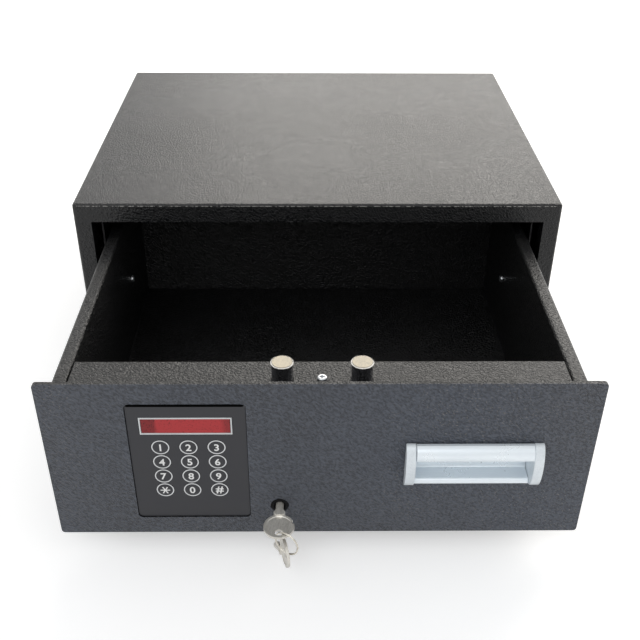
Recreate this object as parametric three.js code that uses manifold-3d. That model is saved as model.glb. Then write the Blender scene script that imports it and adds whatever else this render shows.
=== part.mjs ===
// Under desk drawer safe: a folded steel cabinet, a steel drawer on telescopic ball slides,
// and a drawer front with keypad, recessed pull handle, override key lock and two lifting bolts.
// Millimetres, +Z up, the front faces -Y, the origin is the middle of the cabinet's underside.
// The drawer stands open by DRAWER_OPEN and the bolts are down.
import * as THREE from 'three';
import { mergeVertices } from 'three/addons/utils/BufferGeometryUtils.js';
import Module from 'manifold-3d';

const wasm = await Module();
wasm.setup();

// Cabinet
const CABINET_WIDTH = 400;
const CABINET_DEPTH = 330;
const CABINET_HEIGHT = 170;
const CABINET_SHEET = 1.5;
const CABINET_BEND = 2.5;
const FRAME_BAND = 16;
const FRAME_SIDE = 14;
const FRAME_RETURN = 13;
const FRAME_CORNER = 1;
const BACK_FLANGE = 12;
const ANCHOR_HOLE_D = 8;
const ANCHOR_INSET_X = 60;
const ANCHOR_INSET_Y = 65;
const WALL_HOLE_PITCH = 240;
const WALL_HOLE_DROP = 45;

// Clearances: FIT separates pieces that are fixed together, RUN separates pieces that slide
const FIT = 0.3;
const RUN = 0.4;

// How far a cutting shape runs past the face that it opens
const PAST = 1;

// Corners closer than this are one corner
const SAME = 1e-4;

const DEGREE = Math.PI / 180;

// Sides of the round pieces, and steps in a rounded corner
const ROUND_SIDES = 28;
const SMALL_SIDES = 14;
const CORNER_STEPS = 3;

// Drawer front plate
const DRAWER_OPEN = 213;
const FRONT_GAP_SIDE = 4.5;
const FRONT_GAP_BAND = 3.5;
const FRONT_THICK = 3;
const FRONT_CORNER = 2.5;

// Spacer brackets that carry the slides
const SPACER_DEPTH = 18.5;
const SPACER_SHEET = 1.5;
const SPACER_LIP = 10;
const SPACER_SETBACK = 2;
const SPACER_REAR_ROOM = 0.5;
const SPACER_BAND = 2;

// Telescopic ball slides
const SLIDE_HEIGHT = 45;
const SLIDE_THICK = 12.7;
const SLIDE_METAL = 1.2;
const SLIDE_SETBACK = 0.5;
const SLIDE_ABOVE_TRAY = 53.5;
const SLIDE_BEND = 1.3;
const SLIDE_BEND_STEPS = 2;
const RACE_LIP = 2.6;
const OUTER_LIP_SET = 3.36;
const MIDDLE_LIP_SET = 2.28;
const BALL_D = 3.2;
const BALL_SIDES = 6;
const BALL_RINGS = 3;
const BALLS_IN_ROW = 4;
const BALL_PITCH = 22;
const OUTER_BALL_SET = 1.2;
const INNER_BALL_SET = 0.6;
const CAGE_METAL = 0.5;
const CAGE_BEND = 1;
const CAGE_LIP = 1.1;
const CAGE_END = 4.8;
const CAGE_PLACE = 0.46;
const SLIDE_SLOT_LENGTH = 11;
const SLIDE_SLOT_WIDTH = 4.6;
const SLOT_END_FLAT = 0.01;

// Drawer tray
const TRAY_SHEET = 1.2;
const TRAY_RIM = 8.8;
const TRAY_LIP = 5;
const TRAY_BEND = 1.6;
const TRAY_RIM_DROP = 12.5;
const TRAY_LIFT = 9.5;
const TRAY_REAR_ROOM = 8.9;
const TRAY_FRONT_FLANGE = 12;
const TRAY_FLANGE_DROP = 3;
const LOCK_ROOM = 20;
const TRAY_SCREW_FRONT = 62;
const TRAY_SCREW_REAR = 242;

// Housing over the lock works
const HOUSING_DEPTH = 42.6;
const HOUSING_SHEET = 1.2;
const HOUSING_SIDE_GAP = 1;
const BATTERY_COVER_WIDTH = 76;
const BATTERY_COVER_HEIGHT = 70;
const BATTERY_COVER_SHEET = 1.2;
const BATTERY_COVER_LAP = 5;
const BATTERY_CORNER = 3;
const BATTERY_D = 14.5;
const BATTERY_LENGTH = 49;
const BATTERY_TERMINAL_D = 5.5;
const BATTERY_TERMINAL = 1.5;
const BATTERY_COUNT = 4;
const BATTERY_WALL = 1.5;

// Bolts and their drive
const BOLT_D = 14.1;
const BOLT_PITCH = 52;
const BOLT_CENTRE_X = 1;
const BOLT_BACK = 21.3;
const BOLT_TOP_GAP = 1.5;
const BOLT_CHAMFER = 0.9;
const BOLT_THROW = 9;
const BOLT_SPIGOT_D = 8;
const BAR_THICK = 2.5;
const BAR_ABOVE_LOCK = 37.1;
const BAR_OVERHANG = 11;
const BAR_FRONT_EDGE = 1.45;
const BAR_REAR_EDGE = 3.65;
const LEG_WIDTH = 6;
const LEG_BAND = 4;
const TAB_REACH = 7.2;
const TAB_THICK = 1.5;
const TAB_WIDTH = 6;
const GEAR_MODULE = 1.25;
const PINION_TEETH = 12;
const PINION_WIDTH = 5;
const RACK_X = 8;
const RACK_STEM = 22;
const RACK_LENGTH = 38;
const PRESSURE_ANGLE = 20;
const ADDENDUM = 1;
const DEDENDUM = 1.5;
const BACKLASH = 0.6;
const GUIDE_SHEET = 2;
const GUIDE_ABOVE_BAR = 22;
const GUIDE_BELOW_TOP = 1.5;
const MOTOR_WIDTH = 12;
const MOTOR_HEIGHT = 10;
const MOTOR_CAN = 15;
const MOTOR_GEARBOX = 9;
const SHAFT_D = 3;
const SHAFT_DEPTH = 5;

// Screws
const SCREW_D = 3.8;
const SCREW_HEAD_D = 6.8;
const SCREW_HEAD = 2.2;
const SCREW_LENGTH = 6;
const SCREW_RIM = 0.7;
const SCREW_CROWN_D = 4.8;
const SCREW_CROWN = 1.9;
const CROSS_WIDTH = 1.2;
const CROSS_LENGTH = 3.6;
const CROSS_DEPTH = 1.3;

// Keypad panel
const KEYPAD_WIDTH = 77.2;
const KEYPAD_CENTRE_X = -87;
const KEYPAD_DROP = 16.3;
const KEYPAD_RISE = 14.9;
const KEYPAD_CORNER = 3;
const KEYPAD_RECESS = 0.9;
const KEYPAD_SKIN = 1.4;
const KEYPAD_RIM = 2.2;
const KEYPAD_RIM_THICK = 1.6;
const DISPLAY_WIDTH = 60.3;
const DISPLAY_HEIGHT = 13.9;
const DISPLAY_DROP = 27.8;
const DISPLAY_SHIFT = -0.6;
const BEZEL_WIDTH = 1;
const BEZEL_PROUD = 0.2;
const BEZEL_SHORT = 1.1;
const KEY_D = 11;
const KEY_FLANGE = 0.6;
const KEY_FLANGE_THICK = 1.2;
const KEY_CROWN = 0.35;
const KEY_PITCH_X = 18.5;
const KEY_PITCH_Z = 12.75;
const KEY_DROP = 52.8;
const KEY_COLUMNS = 3;
const BOARD_THICK = 1.6;
const BOARD_INSET = 1;
const DOME_D = 5;
const DOME_RISE = 0.5;
const DOME_SIDES = 6;

// Pull handle
const HANDLE_WIDTH = 91.2;
const HANDLE_HEIGHT = 35.6;
const HANDLE_MARGIN = 34.1;
const HANDLE_DROP = 48.5;
const HANDLE_CAP = 6.6;
const HANDLE_BULGE = 8.4;
const HANDLE_RECESS = 12;
const HANDLE_METAL = 1.6;
const HANDLE_LAP = 2.2;
const HANDLE_BEND = 2;
const HOOD_LOW = 9.4;
const HOOD_STEPS = 6;
const HOOD_RIM_R = 1.6;
const HOOD_RIM_STEPS = 3;
const HOOD_THROAT = 1;
const CAP_EDGE = 1;
const CAP_STEPS = 14;

// Override lock
const LOCK_X = -27.9;
const LOCK_RISE = 25.6;
const LOCK_D = 11.9;
const LOCK_LENGTH = 22;
const LOCK_PROUD = 0.3;
const PLUG_D = 7.8;
const PLUG_RECESS = 0.8;
const KEYWAY_DEPTH = 7;
const CAM_REACH = 11;
const CAM_WIDTH = 6;
const CAM_THICK = 2;
const CAM_HUB = 4.2;
const PLUG_STUB = 4;
const STUB_D = 5;
const STUB_FLAT = 1.8;

// Keys and their ring
const TUBE_D = 5.5;
const TUBE_BORE = 3.6;
const BOW_D = 21;
const BOW_THICK = 2;
const BOW_REACH = 19.9;
const BOW_HOLE_D = 5.4;
const BOW_HOLE_OUT = 5.7;
const BOW_RIM = 1.6;
const BOW_RELIEF = 0.35;
const BOW_NOTCH_D = 3.2;
const BOW_NOTCH_TURN = 20;
const TUBE_DEPTH = 8;
const NECK_Y = 12;
const NECK_WIDTH = 8;
const NECK_THICK = 4;
const NECK_TAPER = 2.2;
const RING_R = 8.8;
const RING_WIRE = 1.4;
const WIRE_SIDES = 6;
const RING_LEAN = 47;
const RING_TURN = 58;
const SPARE_TURN = 16;
const SPARE_DIP = 36;
const SPARE_DROP = 1;

// Places worked out from the sizes above
const FACE_Y = -CABINET_DEPTH / 2;
const REAR_Y = CABINET_DEPTH / 2;
const SIDE_X = CABINET_WIDTH / 2;
const INNER_X = SIDE_X - CABINET_SHEET;
const OPENING_X = SIDE_X - FRAME_SIDE;
const OPENING_LOW = FRAME_BAND;
const OPENING_HIGH = CABINET_HEIGHT - FRAME_BAND;
const FRONT_X = OPENING_X - FRONT_GAP_SIDE;
const FRONT_LOW = OPENING_LOW + FRONT_GAP_BAND;
const FRONT_HIGH = OPENING_HIGH - FRONT_GAP_BAND;
const PLATE_BACK_Y = FACE_Y + FRONT_THICK;
const SPACER_X = INNER_X - SPACER_DEPTH;
const SLIDE_X = SPACER_X - FIT;
const TRAY_OUT_X = SLIDE_X - SLIDE_THICK - FIT;
const TRAY_IN_X = TRAY_OUT_X - TRAY_SHEET;
const RIM_Z = FRONT_HIGH - TRAY_RIM_DROP;
const FLOOR_LOW = FRONT_LOW + TRAY_LIFT;
const FLOOR_Z = FLOOR_LOW + TRAY_SHEET;
const TRAY_FRONT_Y = PLATE_BACK_Y + FIT;
const TRAY_REAR_Y = REAR_Y - CABINET_SHEET - TRAY_REAR_ROOM - TRAY_RIM;
const SLIDE_Z = FLOOR_LOW + SLIDE_ABOVE_TRAY;
const SPACER_FRONT_Y = FACE_Y + FRAME_RETURN + SPACER_SETBACK;
const SPACER_REAR_Y = REAR_Y - CABINET_SHEET - BACK_FLANGE - SPACER_REAR_ROOM;
const SLIDE_FRONT_Y = SPACER_FRONT_Y + SLIDE_SETBACK;
const SLIDE_LENGTH = SPACER_REAR_Y - SLIDE_SETBACK - SLIDE_FRONT_Y;
const HOUSING_X = TRAY_IN_X - HOUSING_SIDE_GAP;
const HOUSING_BACK_Y = FACE_Y + HOUSING_DEPTH;
const BOLT_Y = FACE_Y + BOLT_BACK;
const BOLT_TOP = OPENING_HIGH - BOLT_TOP_GAP;
const LOCK_Z = FRONT_LOW + LOCK_RISE;
const BAR_TOP = LOCK_Z + BAR_ABOVE_LOCK;
const BOLT_LOW = BAR_TOP + FIT;
const KEYPAD_HEIGHT = FRONT_HIGH - FRONT_LOW - KEYPAD_DROP - KEYPAD_RISE;
const HANDLE_CENTRE_X = FRONT_X - HANDLE_MARGIN - HANDLE_WIDTH / 2;

// Finishes
function finish(color, roughness, metalness) {
  return new THREE.MeshStandardMaterial({ color, roughness, metalness });
}
const cabinetCoat = finish(0x4b4a49, 0.62, 0.1);
const drawerCoat = finish(0x3f4247, 0.58, 0.1);
const zincSteel = finish(0xb4b8bb, 0.35, 0.9);
const chromeSteel = finish(0xd8d4cc, 0.15, 1);
const nickelBrass = finish(0x9b9891, 0.32, 1);
const aluminium = finish(0xe4e8ea, 0.3, 0.9);
const capMetal = finish(0xd2d6d9, 0.45, 0.7);
const panelPlastic = finish(0x3b3c3f, 0.5, 0);
const blackZinc = finish(0x0a0a0b, 0.5, 0.3);
const redAcrylic = finish(0x97292d, 0.2, 0);
const greyPlastic = finish(0xc4c3c0, 0.45, 0);
const boardGreen = finish(0x1d5636, 0.6, 0);
const blackPlastic = finish(0x161617, 0.55, 0);
const brassGear = finish(0xb7924a, 0.35, 0.9);

// A closed geometry becomes a solid once its shared corners are merged
function solid(geometry) {
  const bare = geometry.clone();
  bare.deleteAttribute('normal');
  bare.deleteAttribute('uv');
  const merged = mergeVertices(bare, SAME);
  const index = merged.index.array;
  const faces = [];
  for (let i = 0; i < index.length; i += 3) {
    const [a, b, c] = [index[i], index[i + 1], index[i + 2]];
    if (a !== b && b !== c && c !== a) faces.push(a, b, c);
  }
  const vertProperties = Float32Array.from(merged.attributes.position.array);
  const triVerts = Uint32Array.from(faces);
  return new wasm.Manifold(new wasm.Mesh({ numProp: 3, vertProperties, triVerts }));
}

function geometryOf(body) {
  const { vertProperties, triVerts } = body.getMesh();
  const geometry = new THREE.BufferGeometry();
  geometry.setAttribute('position', new THREE.BufferAttribute(Float32Array.from(vertProperties), 3));
  geometry.setIndex(new THREE.BufferAttribute(Uint32Array.from(triVerts), 1));
  geometry.computeVertexNormals();
  return geometry;
}

function join(...bodies) {
  return bodies.reduce((whole, body) => whole.add(body));
}

function cut(body, ...tools) {
  return tools.reduce((rest, tool) => rest.subtract(tool), body);
}

// Prisms of a flat shape. The shape's x and y become X and Z, Y and Z, or X and Y.
function extrude(shape, depth, curveSegments) {
  return new THREE.ExtrudeGeometry(shape, { depth, bevelEnabled: false, steps: 1, curveSegments });
}

function alongY(shape, front, back, curveSegments = CORNER_STEPS) {
  const geometry = extrude(shape, back - front, curveSegments);
  geometry.rotateX(Math.PI / 2);
  geometry.translate(0, back, 0);
  return solid(geometry);
}

function alongX(shape, left, right, curveSegments = CORNER_STEPS) {
  const geometry = extrude(shape, right - left, curveSegments);
  const basis = new THREE.Matrix4().makeBasis(
    new THREE.Vector3(0, 1, 0), new THREE.Vector3(0, 0, 1), new THREE.Vector3(1, 0, 0));
  geometry.applyMatrix4(basis);
  geometry.translate(left, 0, 0);
  return solid(geometry);
}

function alongZ(shape, low, high, curveSegments = CORNER_STEPS) {
  const geometry = extrude(shape, high - low, curveSegments);
  geometry.translate(0, 0, low);
  return solid(geometry);
}

function block(left, right, front, back, low, high) {
  const geometry = new THREE.BoxGeometry(right - left, back - front, high - low);
  geometry.translate((left + right) / 2, (front + back) / 2, (low + high) / 2);
  return solid(geometry);
}

// Turned pieces: profile points are [radius, height along the axis]
function turned(profile, segments) {
  return new THREE.LatheGeometry(profile.map(([r, h]) => new THREE.Vector2(r, h)), segments);
}

function turnedY(profile, x, z, segments = ROUND_SIDES) {
  const geometry = turned(profile, segments);
  geometry.translate(x, 0, z);
  return solid(geometry);
}

function turnedZ(profile, x, y, segments = ROUND_SIDES) {
  const geometry = turned(profile, segments);
  geometry.rotateX(Math.PI / 2);
  geometry.translate(x, y, 0);
  return solid(geometry);
}

function rodY(d, x, z, front, back, segments = SMALL_SIDES) {
  return turnedY([[0, front], [d / 2, front], [d / 2, back], [0, back]], x, z, segments);
}

function rodZ(d, x, y, low, high, segments = SMALL_SIDES) {
  return turnedZ([[0, low], [d / 2, low], [d / 2, high], [0, high]], x, y, segments);
}

function rodX(d, y, z, left, right, segments = SMALL_SIDES) {
  const geometry = turned([[0, left], [d / 2, left], [d / 2, right], [0, right]], segments);
  geometry.rotateZ(-Math.PI / 2);
  geometry.translate(0, y, z);
  return solid(geometry);
}

// Flat shapes
function roundedRect(left, right, low, high, r) {
  const shape = new THREE.Shape();
  shape.moveTo(left + r, low);
  shape.lineTo(right - r, low);
  shape.absarc(right - r, low + r, r, -Math.PI / 2, 0);
  shape.lineTo(right, high - r);
  shape.absarc(right - r, high - r, r, 0, Math.PI / 2);
  shape.lineTo(left + r, high);
  shape.absarc(left + r, high - r, r, Math.PI / 2, Math.PI);
  shape.lineTo(left, low + r);
  shape.absarc(left + r, low + r, r, Math.PI, 1.5 * Math.PI);
  return shape;
}

function polygon(points) {
  return new THREE.Shape(points.map(([a, b]) => new THREE.Vector2(a, b)));
}

// Rounds the inner corners of an open line of points, as a press brake does
function bent(points, radius, steps = CORNER_STEPS) {
  const line = points.map(([a, b]) => new THREE.Vector2(a, b));
  const out = [line[0]];
  for (let i = 1; i < line.length - 1; i++) {
    const back = line[i - 1].clone().sub(line[i]).normalize();
    const on = line[i + 1].clone().sub(line[i]).normalize();
    const half = back.angleTo(on) / 2;
    const reach = radius / Math.tan(half);
    const start = line[i].clone().addScaledVector(back, reach);
    const end = line[i].clone().addScaledVector(on, reach);
    const middle = back.clone().add(on).normalize();
    const centre = line[i].clone().addScaledVector(middle, radius / Math.sin(half));
    const from = Math.atan2(start.y - centre.y, start.x - centre.x);
    let sweep = Math.atan2(end.y - centre.y, end.x - centre.x) - from;
    if (sweep > Math.PI) sweep -= 2 * Math.PI;
    if (sweep < -Math.PI) sweep += 2 * Math.PI;
    for (let k = 0; k <= steps; k++) {
      const turn = from + sweep * k / steps;
      out.push(new THREE.Vector2(centre.x + radius * Math.cos(turn), centre.y + radius * Math.sin(turn)));
    }
  }
  out.push(line[line.length - 1]);
  return out;
}

// The cross-section of sheet metal that follows a line through its middle
function sheet(line, thick) {
  const normals = line.slice(1).map((point, i) => {
    const run = point.clone().sub(line[i]).normalize();
    return new THREE.Vector2(-run.y, run.x);
  });
  const offset = line.map((point, i) => {
    const before = normals[Math.max(i - 1, 0)];
    const after = normals[Math.min(i, normals.length - 1)];
    const mitre = before.clone().add(after).normalize();
    return mitre.multiplyScalar(thick / 2 / mitre.dot(after));
  });
  const left = line.map((point, i) => point.clone().add(offset[i]));
  const right = line.map((point, i) => point.clone().sub(offset[i])).reverse();
  return new THREE.Shape(left.concat(right));
}

function mirroredUp(points) {
  return points.concat(points.map(([a, b]) => [a, -b]).reverse());
}

function ordered(a, b) {
  return a < b ? [a, b] : [b, a];
}

// The model: one group for each moving set of pieces
const model = new THREE.Group();
const drawer = new THREE.Group();
const middleSlides = new THREE.Group();
const outerCages = new THREE.Group();
const innerCages = new THREE.Group();
drawer.position.y = -DRAWER_OPEN;
middleSlides.position.y = -DRAWER_OPEN / 2;
outerCages.position.y = -DRAWER_OPEN / 4;
innerCages.position.y = -DRAWER_OPEN * 3 / 4;
model.add(drawer, middleSlides, outerCages, innerCages);

function add(group, name, body, material) {
  const mesh = new THREE.Mesh(geometryOf(body), material);
  mesh.name = name;
  group.add(mesh);
}

// Cabinet shell: a folded wrap with a front frame turned in and back like a door jamb
function cabinetShell() {
  const outline = roundedRect(-SIDE_X, SIDE_X, 0, CABINET_HEIGHT, CABINET_BEND);
  const rings = [];
  for (let k = 0; k <= CORNER_STEPS; k++) {
    const turn = k / CORNER_STEPS * Math.PI / 2;
    const inset = CABINET_BEND * (1 - Math.sin(turn));
    rings.push({ y: FACE_Y + CABINET_BEND * (1 - Math.cos(turn)), inset });
  }
  rings.push({ y: REAR_Y, inset: 0 });
  const outside = loftedBox(rings);
  const innerHigh = CABINET_HEIGHT - CABINET_SHEET;
  const inside = alongY(
    roundedRect(-INNER_X, INNER_X, CABINET_SHEET, innerHigh, CABINET_BEND - CABINET_SHEET),
    FACE_Y + CABINET_SHEET, REAR_Y + PAST);
  const jamb = alongY(
    roundedRect(-OPENING_X - CABINET_SHEET, OPENING_X + CABINET_SHEET, OPENING_LOW - CABINET_SHEET,
      OPENING_HIGH + CABINET_SHEET, FRAME_CORNER + CABINET_SHEET),
    FACE_Y + CABINET_SHEET / 2, FACE_Y + FRAME_RETURN);
  const mouth = alongY(
    roundedRect(-OPENING_X, OPENING_X, OPENING_LOW, OPENING_HIGH, FRAME_CORNER),
    FACE_Y - PAST, FACE_Y + FRAME_RETURN + PAST);
  const anchors = [];
  for (const x of [-1, 1]) {
    for (const y of [-1, 1]) {
      anchors.push(rodZ(ANCHOR_HOLE_D, x * (SIDE_X - ANCHOR_INSET_X), y * (REAR_Y - ANCHOR_INSET_Y),
        -PAST, CABINET_SHEET + PAST));
    }
  }
  return cut(join(cut(outside, inside), jamb), mouth, ...anchors);
}

// A box along Y whose rounded section steps in towards the front
function loftedBox(rings) {
  const loops = rings.map(({ y, inset }) => {
    const shape = roundedRect(-SIDE_X + inset, SIDE_X - inset, inset, CABINET_HEIGHT - inset, CABINET_BEND);
    return shape.extractPoints(CORNER_STEPS).shape.map((point) => [point.x, y, point.y]);
  });
  const positions = loops.flat(2);
  const count = loops[0].length;
  const faces = [];
  for (let ring = 0; ring < loops.length - 1; ring++) {
    for (let i = 0; i < count; i++) {
      const a = ring * count + i;
      const b = ring * count + (i + 1) % count;
      faces.push(a, b + count, b, a, a + count, b + count);
    }
  }
  const last = (loops.length - 1) * count;
  for (let i = 1; i < count - 1; i++) {
    faces.push(0, i, i + 1);
    faces.push(last, last + i + 1, last + i);
  }
  const geometry = new THREE.BufferGeometry();
  geometry.setAttribute('position', new THREE.Float32BufferAttribute(positions, 3));
  geometry.setIndex(faces);
  return solid(geometry);
}

// Back panel: a shallow pressed tray whose rim is welded inside the wrap
function cabinetBack() {
  const edgeX = INNER_X - FIT;
  const low = CABINET_SHEET + FIT;
  const high = CABINET_HEIGHT - CABINET_SHEET - FIT;
  const front = REAR_Y - BACK_FLANGE;
  const outside = alongY(roundedRect(-edgeX, edgeX, low, high, CABINET_BEND), front, REAR_Y);
  const inside = alongY(
    roundedRect(-edgeX + CABINET_SHEET, edgeX - CABINET_SHEET, low + CABINET_SHEET, high - CABINET_SHEET,
      CABINET_BEND - CABINET_SHEET),
    front - PAST, REAR_Y - CABINET_SHEET);
  const holes = [-1, 1].map((side) => rodY(ANCHOR_HOLE_D, side * WALL_HOLE_PITCH / 2,
    high - WALL_HOLE_DROP, REAR_Y - CABINET_SHEET - PAST, REAR_Y + PAST));
  return cut(outside, inside, ...holes);
}

// Spacer: a lipped channel from floor to roof that brings the slide in line with the tray
function spacer(side) {
  const middleZ = CABINET_HEIGHT / 2;
  const half = middleZ - CABINET_SHEET - SPACER_BAND - SPACER_SHEET / 2;
  const wallX = INNER_X - FIT - SPACER_SHEET / 2;
  const webX = SPACER_X + SPACER_SHEET / 2;
  const line = bent(mirroredUp([[wallX, half - SPACER_LIP], [wallX, half], [webX, half]]), SPACER_SHEET);
  const section = line.map((point) => new THREE.Vector2(side * point.x, middleZ + point.y));
  return alongY(sheet(section, SPACER_SHEET), SPACER_FRONT_Y, SPACER_REAR_Y);
}

// Slide sections, drawn inwards from the cabinet side: depth towards the tray, height from the middle
const RACE_Z = SLIDE_HEIGHT / 2 - SLIDE_METAL - FIT - BALL_D / 2;
const MIDDLE_Z = RACE_Z - BALL_D / 2 - FIT - SLIDE_METAL / 2;
const INNER_RACE_Z = MIDDLE_Z - SLIDE_METAL / 2 - FIT - BALL_D / 2;
const INNER_FLANGE_Z = INNER_RACE_Z - BALL_D / 2 - FIT - SLIDE_METAL / 2;
const CAGE_STEP = FIT + CAGE_METAL + FIT;
const OUTER_CAGE_S = SLIDE_METAL + FIT + CAGE_METAL / 2;
const MIDDLE_WEB_S = SLIDE_METAL + CAGE_STEP + SLIDE_METAL / 2;
const INNER_CAGE_S = MIDDLE_WEB_S + SLIDE_METAL / 2 + FIT + CAGE_METAL / 2;
const OUTER_LIP_S = SLIDE_THICK - OUTER_LIP_SET;
const MIDDLE_LIP_S = SLIDE_THICK - MIDDLE_LIP_SET;
const OUTER_BALL_S = OUTER_LIP_S - SLIDE_METAL / 2 - BALL_D / 2 - OUTER_BALL_SET;
const INNER_BALL_S = MIDDLE_LIP_S - SLIDE_METAL / 2 - BALL_D / 2 - INNER_BALL_SET;

function slideSection(side, points) {
  const line = bent(mirroredUp(points), SLIDE_BEND, SLIDE_BEND_STEPS);
  const placed = line.map((point) => new THREE.Vector2(side * (SLIDE_X - point.x), SLIDE_Z + point.y));
  return alongY(sheet(placed, SLIDE_METAL), SLIDE_FRONT_Y, SLIDE_FRONT_Y + SLIDE_LENGTH);
}

// Screw slots through a web, long way along the slide
function webSlots(side, s, places) {
  const low = SLIDE_Z - SLIDE_SLOT_WIDTH / 2;
  const high = SLIDE_Z + SLIDE_SLOT_WIDTH / 2;
  return places.map((y) => {
    const shape = roundedRect(y - SLIDE_SLOT_LENGTH / 2, y + SLIDE_SLOT_LENGTH / 2, low, high,
      SLIDE_SLOT_WIDTH / 2 - SLOT_END_FLAT);
    const near = side * (SLIDE_X - s);
    return alongX(shape, near - SLIDE_METAL, near + SLIDE_METAL);
  });
}

const SCREW_PLACES = [FACE_Y + TRAY_SCREW_FRONT, FACE_Y + TRAY_SCREW_REAR];

function slideOuter(side) {
  const webS = SLIDE_METAL / 2;
  const top = SLIDE_HEIGHT / 2 - SLIDE_METAL / 2;
  const lip = [OUTER_LIP_S, top - RACE_LIP];
  const body = slideSection(side, [lip, [OUTER_LIP_S, top], [webS, top]]);
  return cut(body, ...webSlots(side, webS, SCREW_PLACES));
}

function slideMiddle(side) {
  const lip = [MIDDLE_LIP_S, MIDDLE_Z - RACE_LIP];
  const body = slideSection(side, [lip, [MIDDLE_LIP_S, MIDDLE_Z], [MIDDLE_WEB_S, MIDDLE_Z]]);
  return cut(body, ...webSlots(side, MIDDLE_WEB_S, SCREW_PLACES));
}

function slideInner(side) {
  const webS = SLIDE_THICK - SLIDE_METAL / 2;
  const reach = INNER_CAGE_S + CAGE_METAL / 2 + FIT;
  const body = slideSection(side, [[reach, INNER_FLANGE_Z], [webS, INNER_FLANGE_Z]]);
  return cut(body, ...webSlots(side, webS, SCREW_PLACES));
}

// Ball cage: a thin strip that spaces two rows of balls
function ballCage(side, webS, ballS, raceZ) {
  const span = (BALLS_IN_ROW - 1) * BALL_PITCH;
  const middleY = SLIDE_FRONT_Y + SLIDE_LENGTH * CAGE_PLACE;
  const reach = span / 2 + CAGE_END;
  const line = bent(mirroredUp([[ballS + CAGE_LIP, raceZ], [webS, raceZ]]), CAGE_BEND, 1)
    .map((point) => new THREE.Vector2(side * (SLIDE_X - point.x), SLIDE_Z + point.y));
  const strip = alongY(sheet(line, CAGE_METAL), middleY - reach, middleY + reach);
  const balls = [];
  for (let i = 0; i < BALLS_IN_ROW; i++) {
    for (const up of [-1, 1]) {
      const ball = new THREE.SphereGeometry(BALL_D / 2, BALL_SIDES, BALL_RINGS);
      const y = middleY - span / 2 + i * BALL_PITCH;
      ball.translate(side * (SLIDE_X - ballS), y, SLIDE_Z + up * raceZ);
      balls.push(solid(ball));
    }
  }
  return join(strip, ...balls);
}

add(model, 'cabinet_shell', cabinetShell(), cabinetCoat);
add(model, 'cabinet_back', cabinetBack(), cabinetCoat);
for (const [word, side] of [['left', -1], ['right', 1]]) {
  add(model, `spacer_${word}`, spacer(side), cabinetCoat);
  add(model, `slide_outer_${word}`, slideOuter(side), zincSteel);
  add(outerCages, `cage_outer_${word}`, ballCage(side, OUTER_CAGE_S, OUTER_BALL_S, RACE_Z), brassGear);
  add(middleSlides, `slide_middle_${word}`, slideMiddle(side), zincSteel);
  const innerCage = ballCage(side, INNER_CAGE_S, INNER_BALL_S, INNER_RACE_Z);
  add(innerCages, `cage_inner_${word}`, innerCage, brassGear);
  add(drawer, `slide_inner_${word}`, slideInner(side), zincSteel);
}

// Drawer tray: floor, sides and their outward rims from one sheet, with flanges for the front plate
function drawerTray() {
  const wallX = TRAY_OUT_X - TRAY_SHEET / 2;
  const rimX = TRAY_OUT_X + TRAY_RIM - TRAY_SHEET / 2;
  const rimZ = RIM_Z - TRAY_SHEET / 2;
  const floorZ = FLOOR_LOW + TRAY_SHEET / 2;
  const half = [[wallX, floorZ], [wallX, rimZ], [rimX, rimZ], [rimX, RIM_Z - TRAY_LIP]];
  const whole = half.map(([x, z]) => [-x, z]).reverse().concat(half);
  const trough = alongY(sheet(bent(whole, TRAY_BEND), TRAY_SHEET), TRAY_FRONT_Y, TRAY_REAR_Y);
  const flangeBack = TRAY_FRONT_Y + TRAY_SHEET;
  const flangeHigh = RIM_Z - HOUSING_SHEET - TRAY_FLANGE_DROP;
  const lowFlange = block(LOCK_X + LOCK_ROOM, wallX, TRAY_FRONT_Y, flangeBack,
    floorZ, FLOOR_Z + TRAY_FRONT_FLANGE);
  const sideFlanges = [-1, 1].map((side) => {
    const [left, right] = ordered(side * wallX, side * (TRAY_IN_X - TRAY_FRONT_FLANGE));
    return block(left, right, TRAY_FRONT_Y, flangeBack, floorZ, flangeHigh);
  });
  const holes = SCREW_PLACES.flatMap((y) => [-1, 1].map((side) =>
    rodX(SLIDE_SLOT_WIDTH, y, SLIDE_Z, side * wallX - TRAY_SHEET, side * wallX + TRAY_SHEET)));
  return cut(join(trough, lowFlange, ...sideFlanges), ...holes);
}

// Rear wall of the tray: welded in between the sides, its rim folded out, its lower corners relieved
function trayBack() {
  const wallY = TRAY_REAR_Y - TRAY_SHEET / 2;
  const rimY = TRAY_REAR_Y + TRAY_RIM - TRAY_SHEET / 2;
  const rimZ = RIM_Z - TRAY_SHEET / 2;
  const low = FLOOR_Z + FIT;
  const halfX = TRAY_IN_X - FIT;
  const line = bent([[wallY, low], [wallY, rimZ], [rimY, rimZ], [rimY, RIM_Z - TRAY_LIP]], TRAY_BEND);
  const wall = alongX(sheet(line, TRAY_SHEET), -halfX, halfX);
  const reliefs = [-1, 1].map((side) => {
    const [left, right] = ordered(side * (halfX - TRAY_BEND), side * (halfX + PAST));
    return block(left, right, wallY - TRAY_SHEET, wallY + TRAY_SHEET, low - PAST, low + TRAY_BEND);
  });
  return cut(wall, ...reliefs);
}

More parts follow.
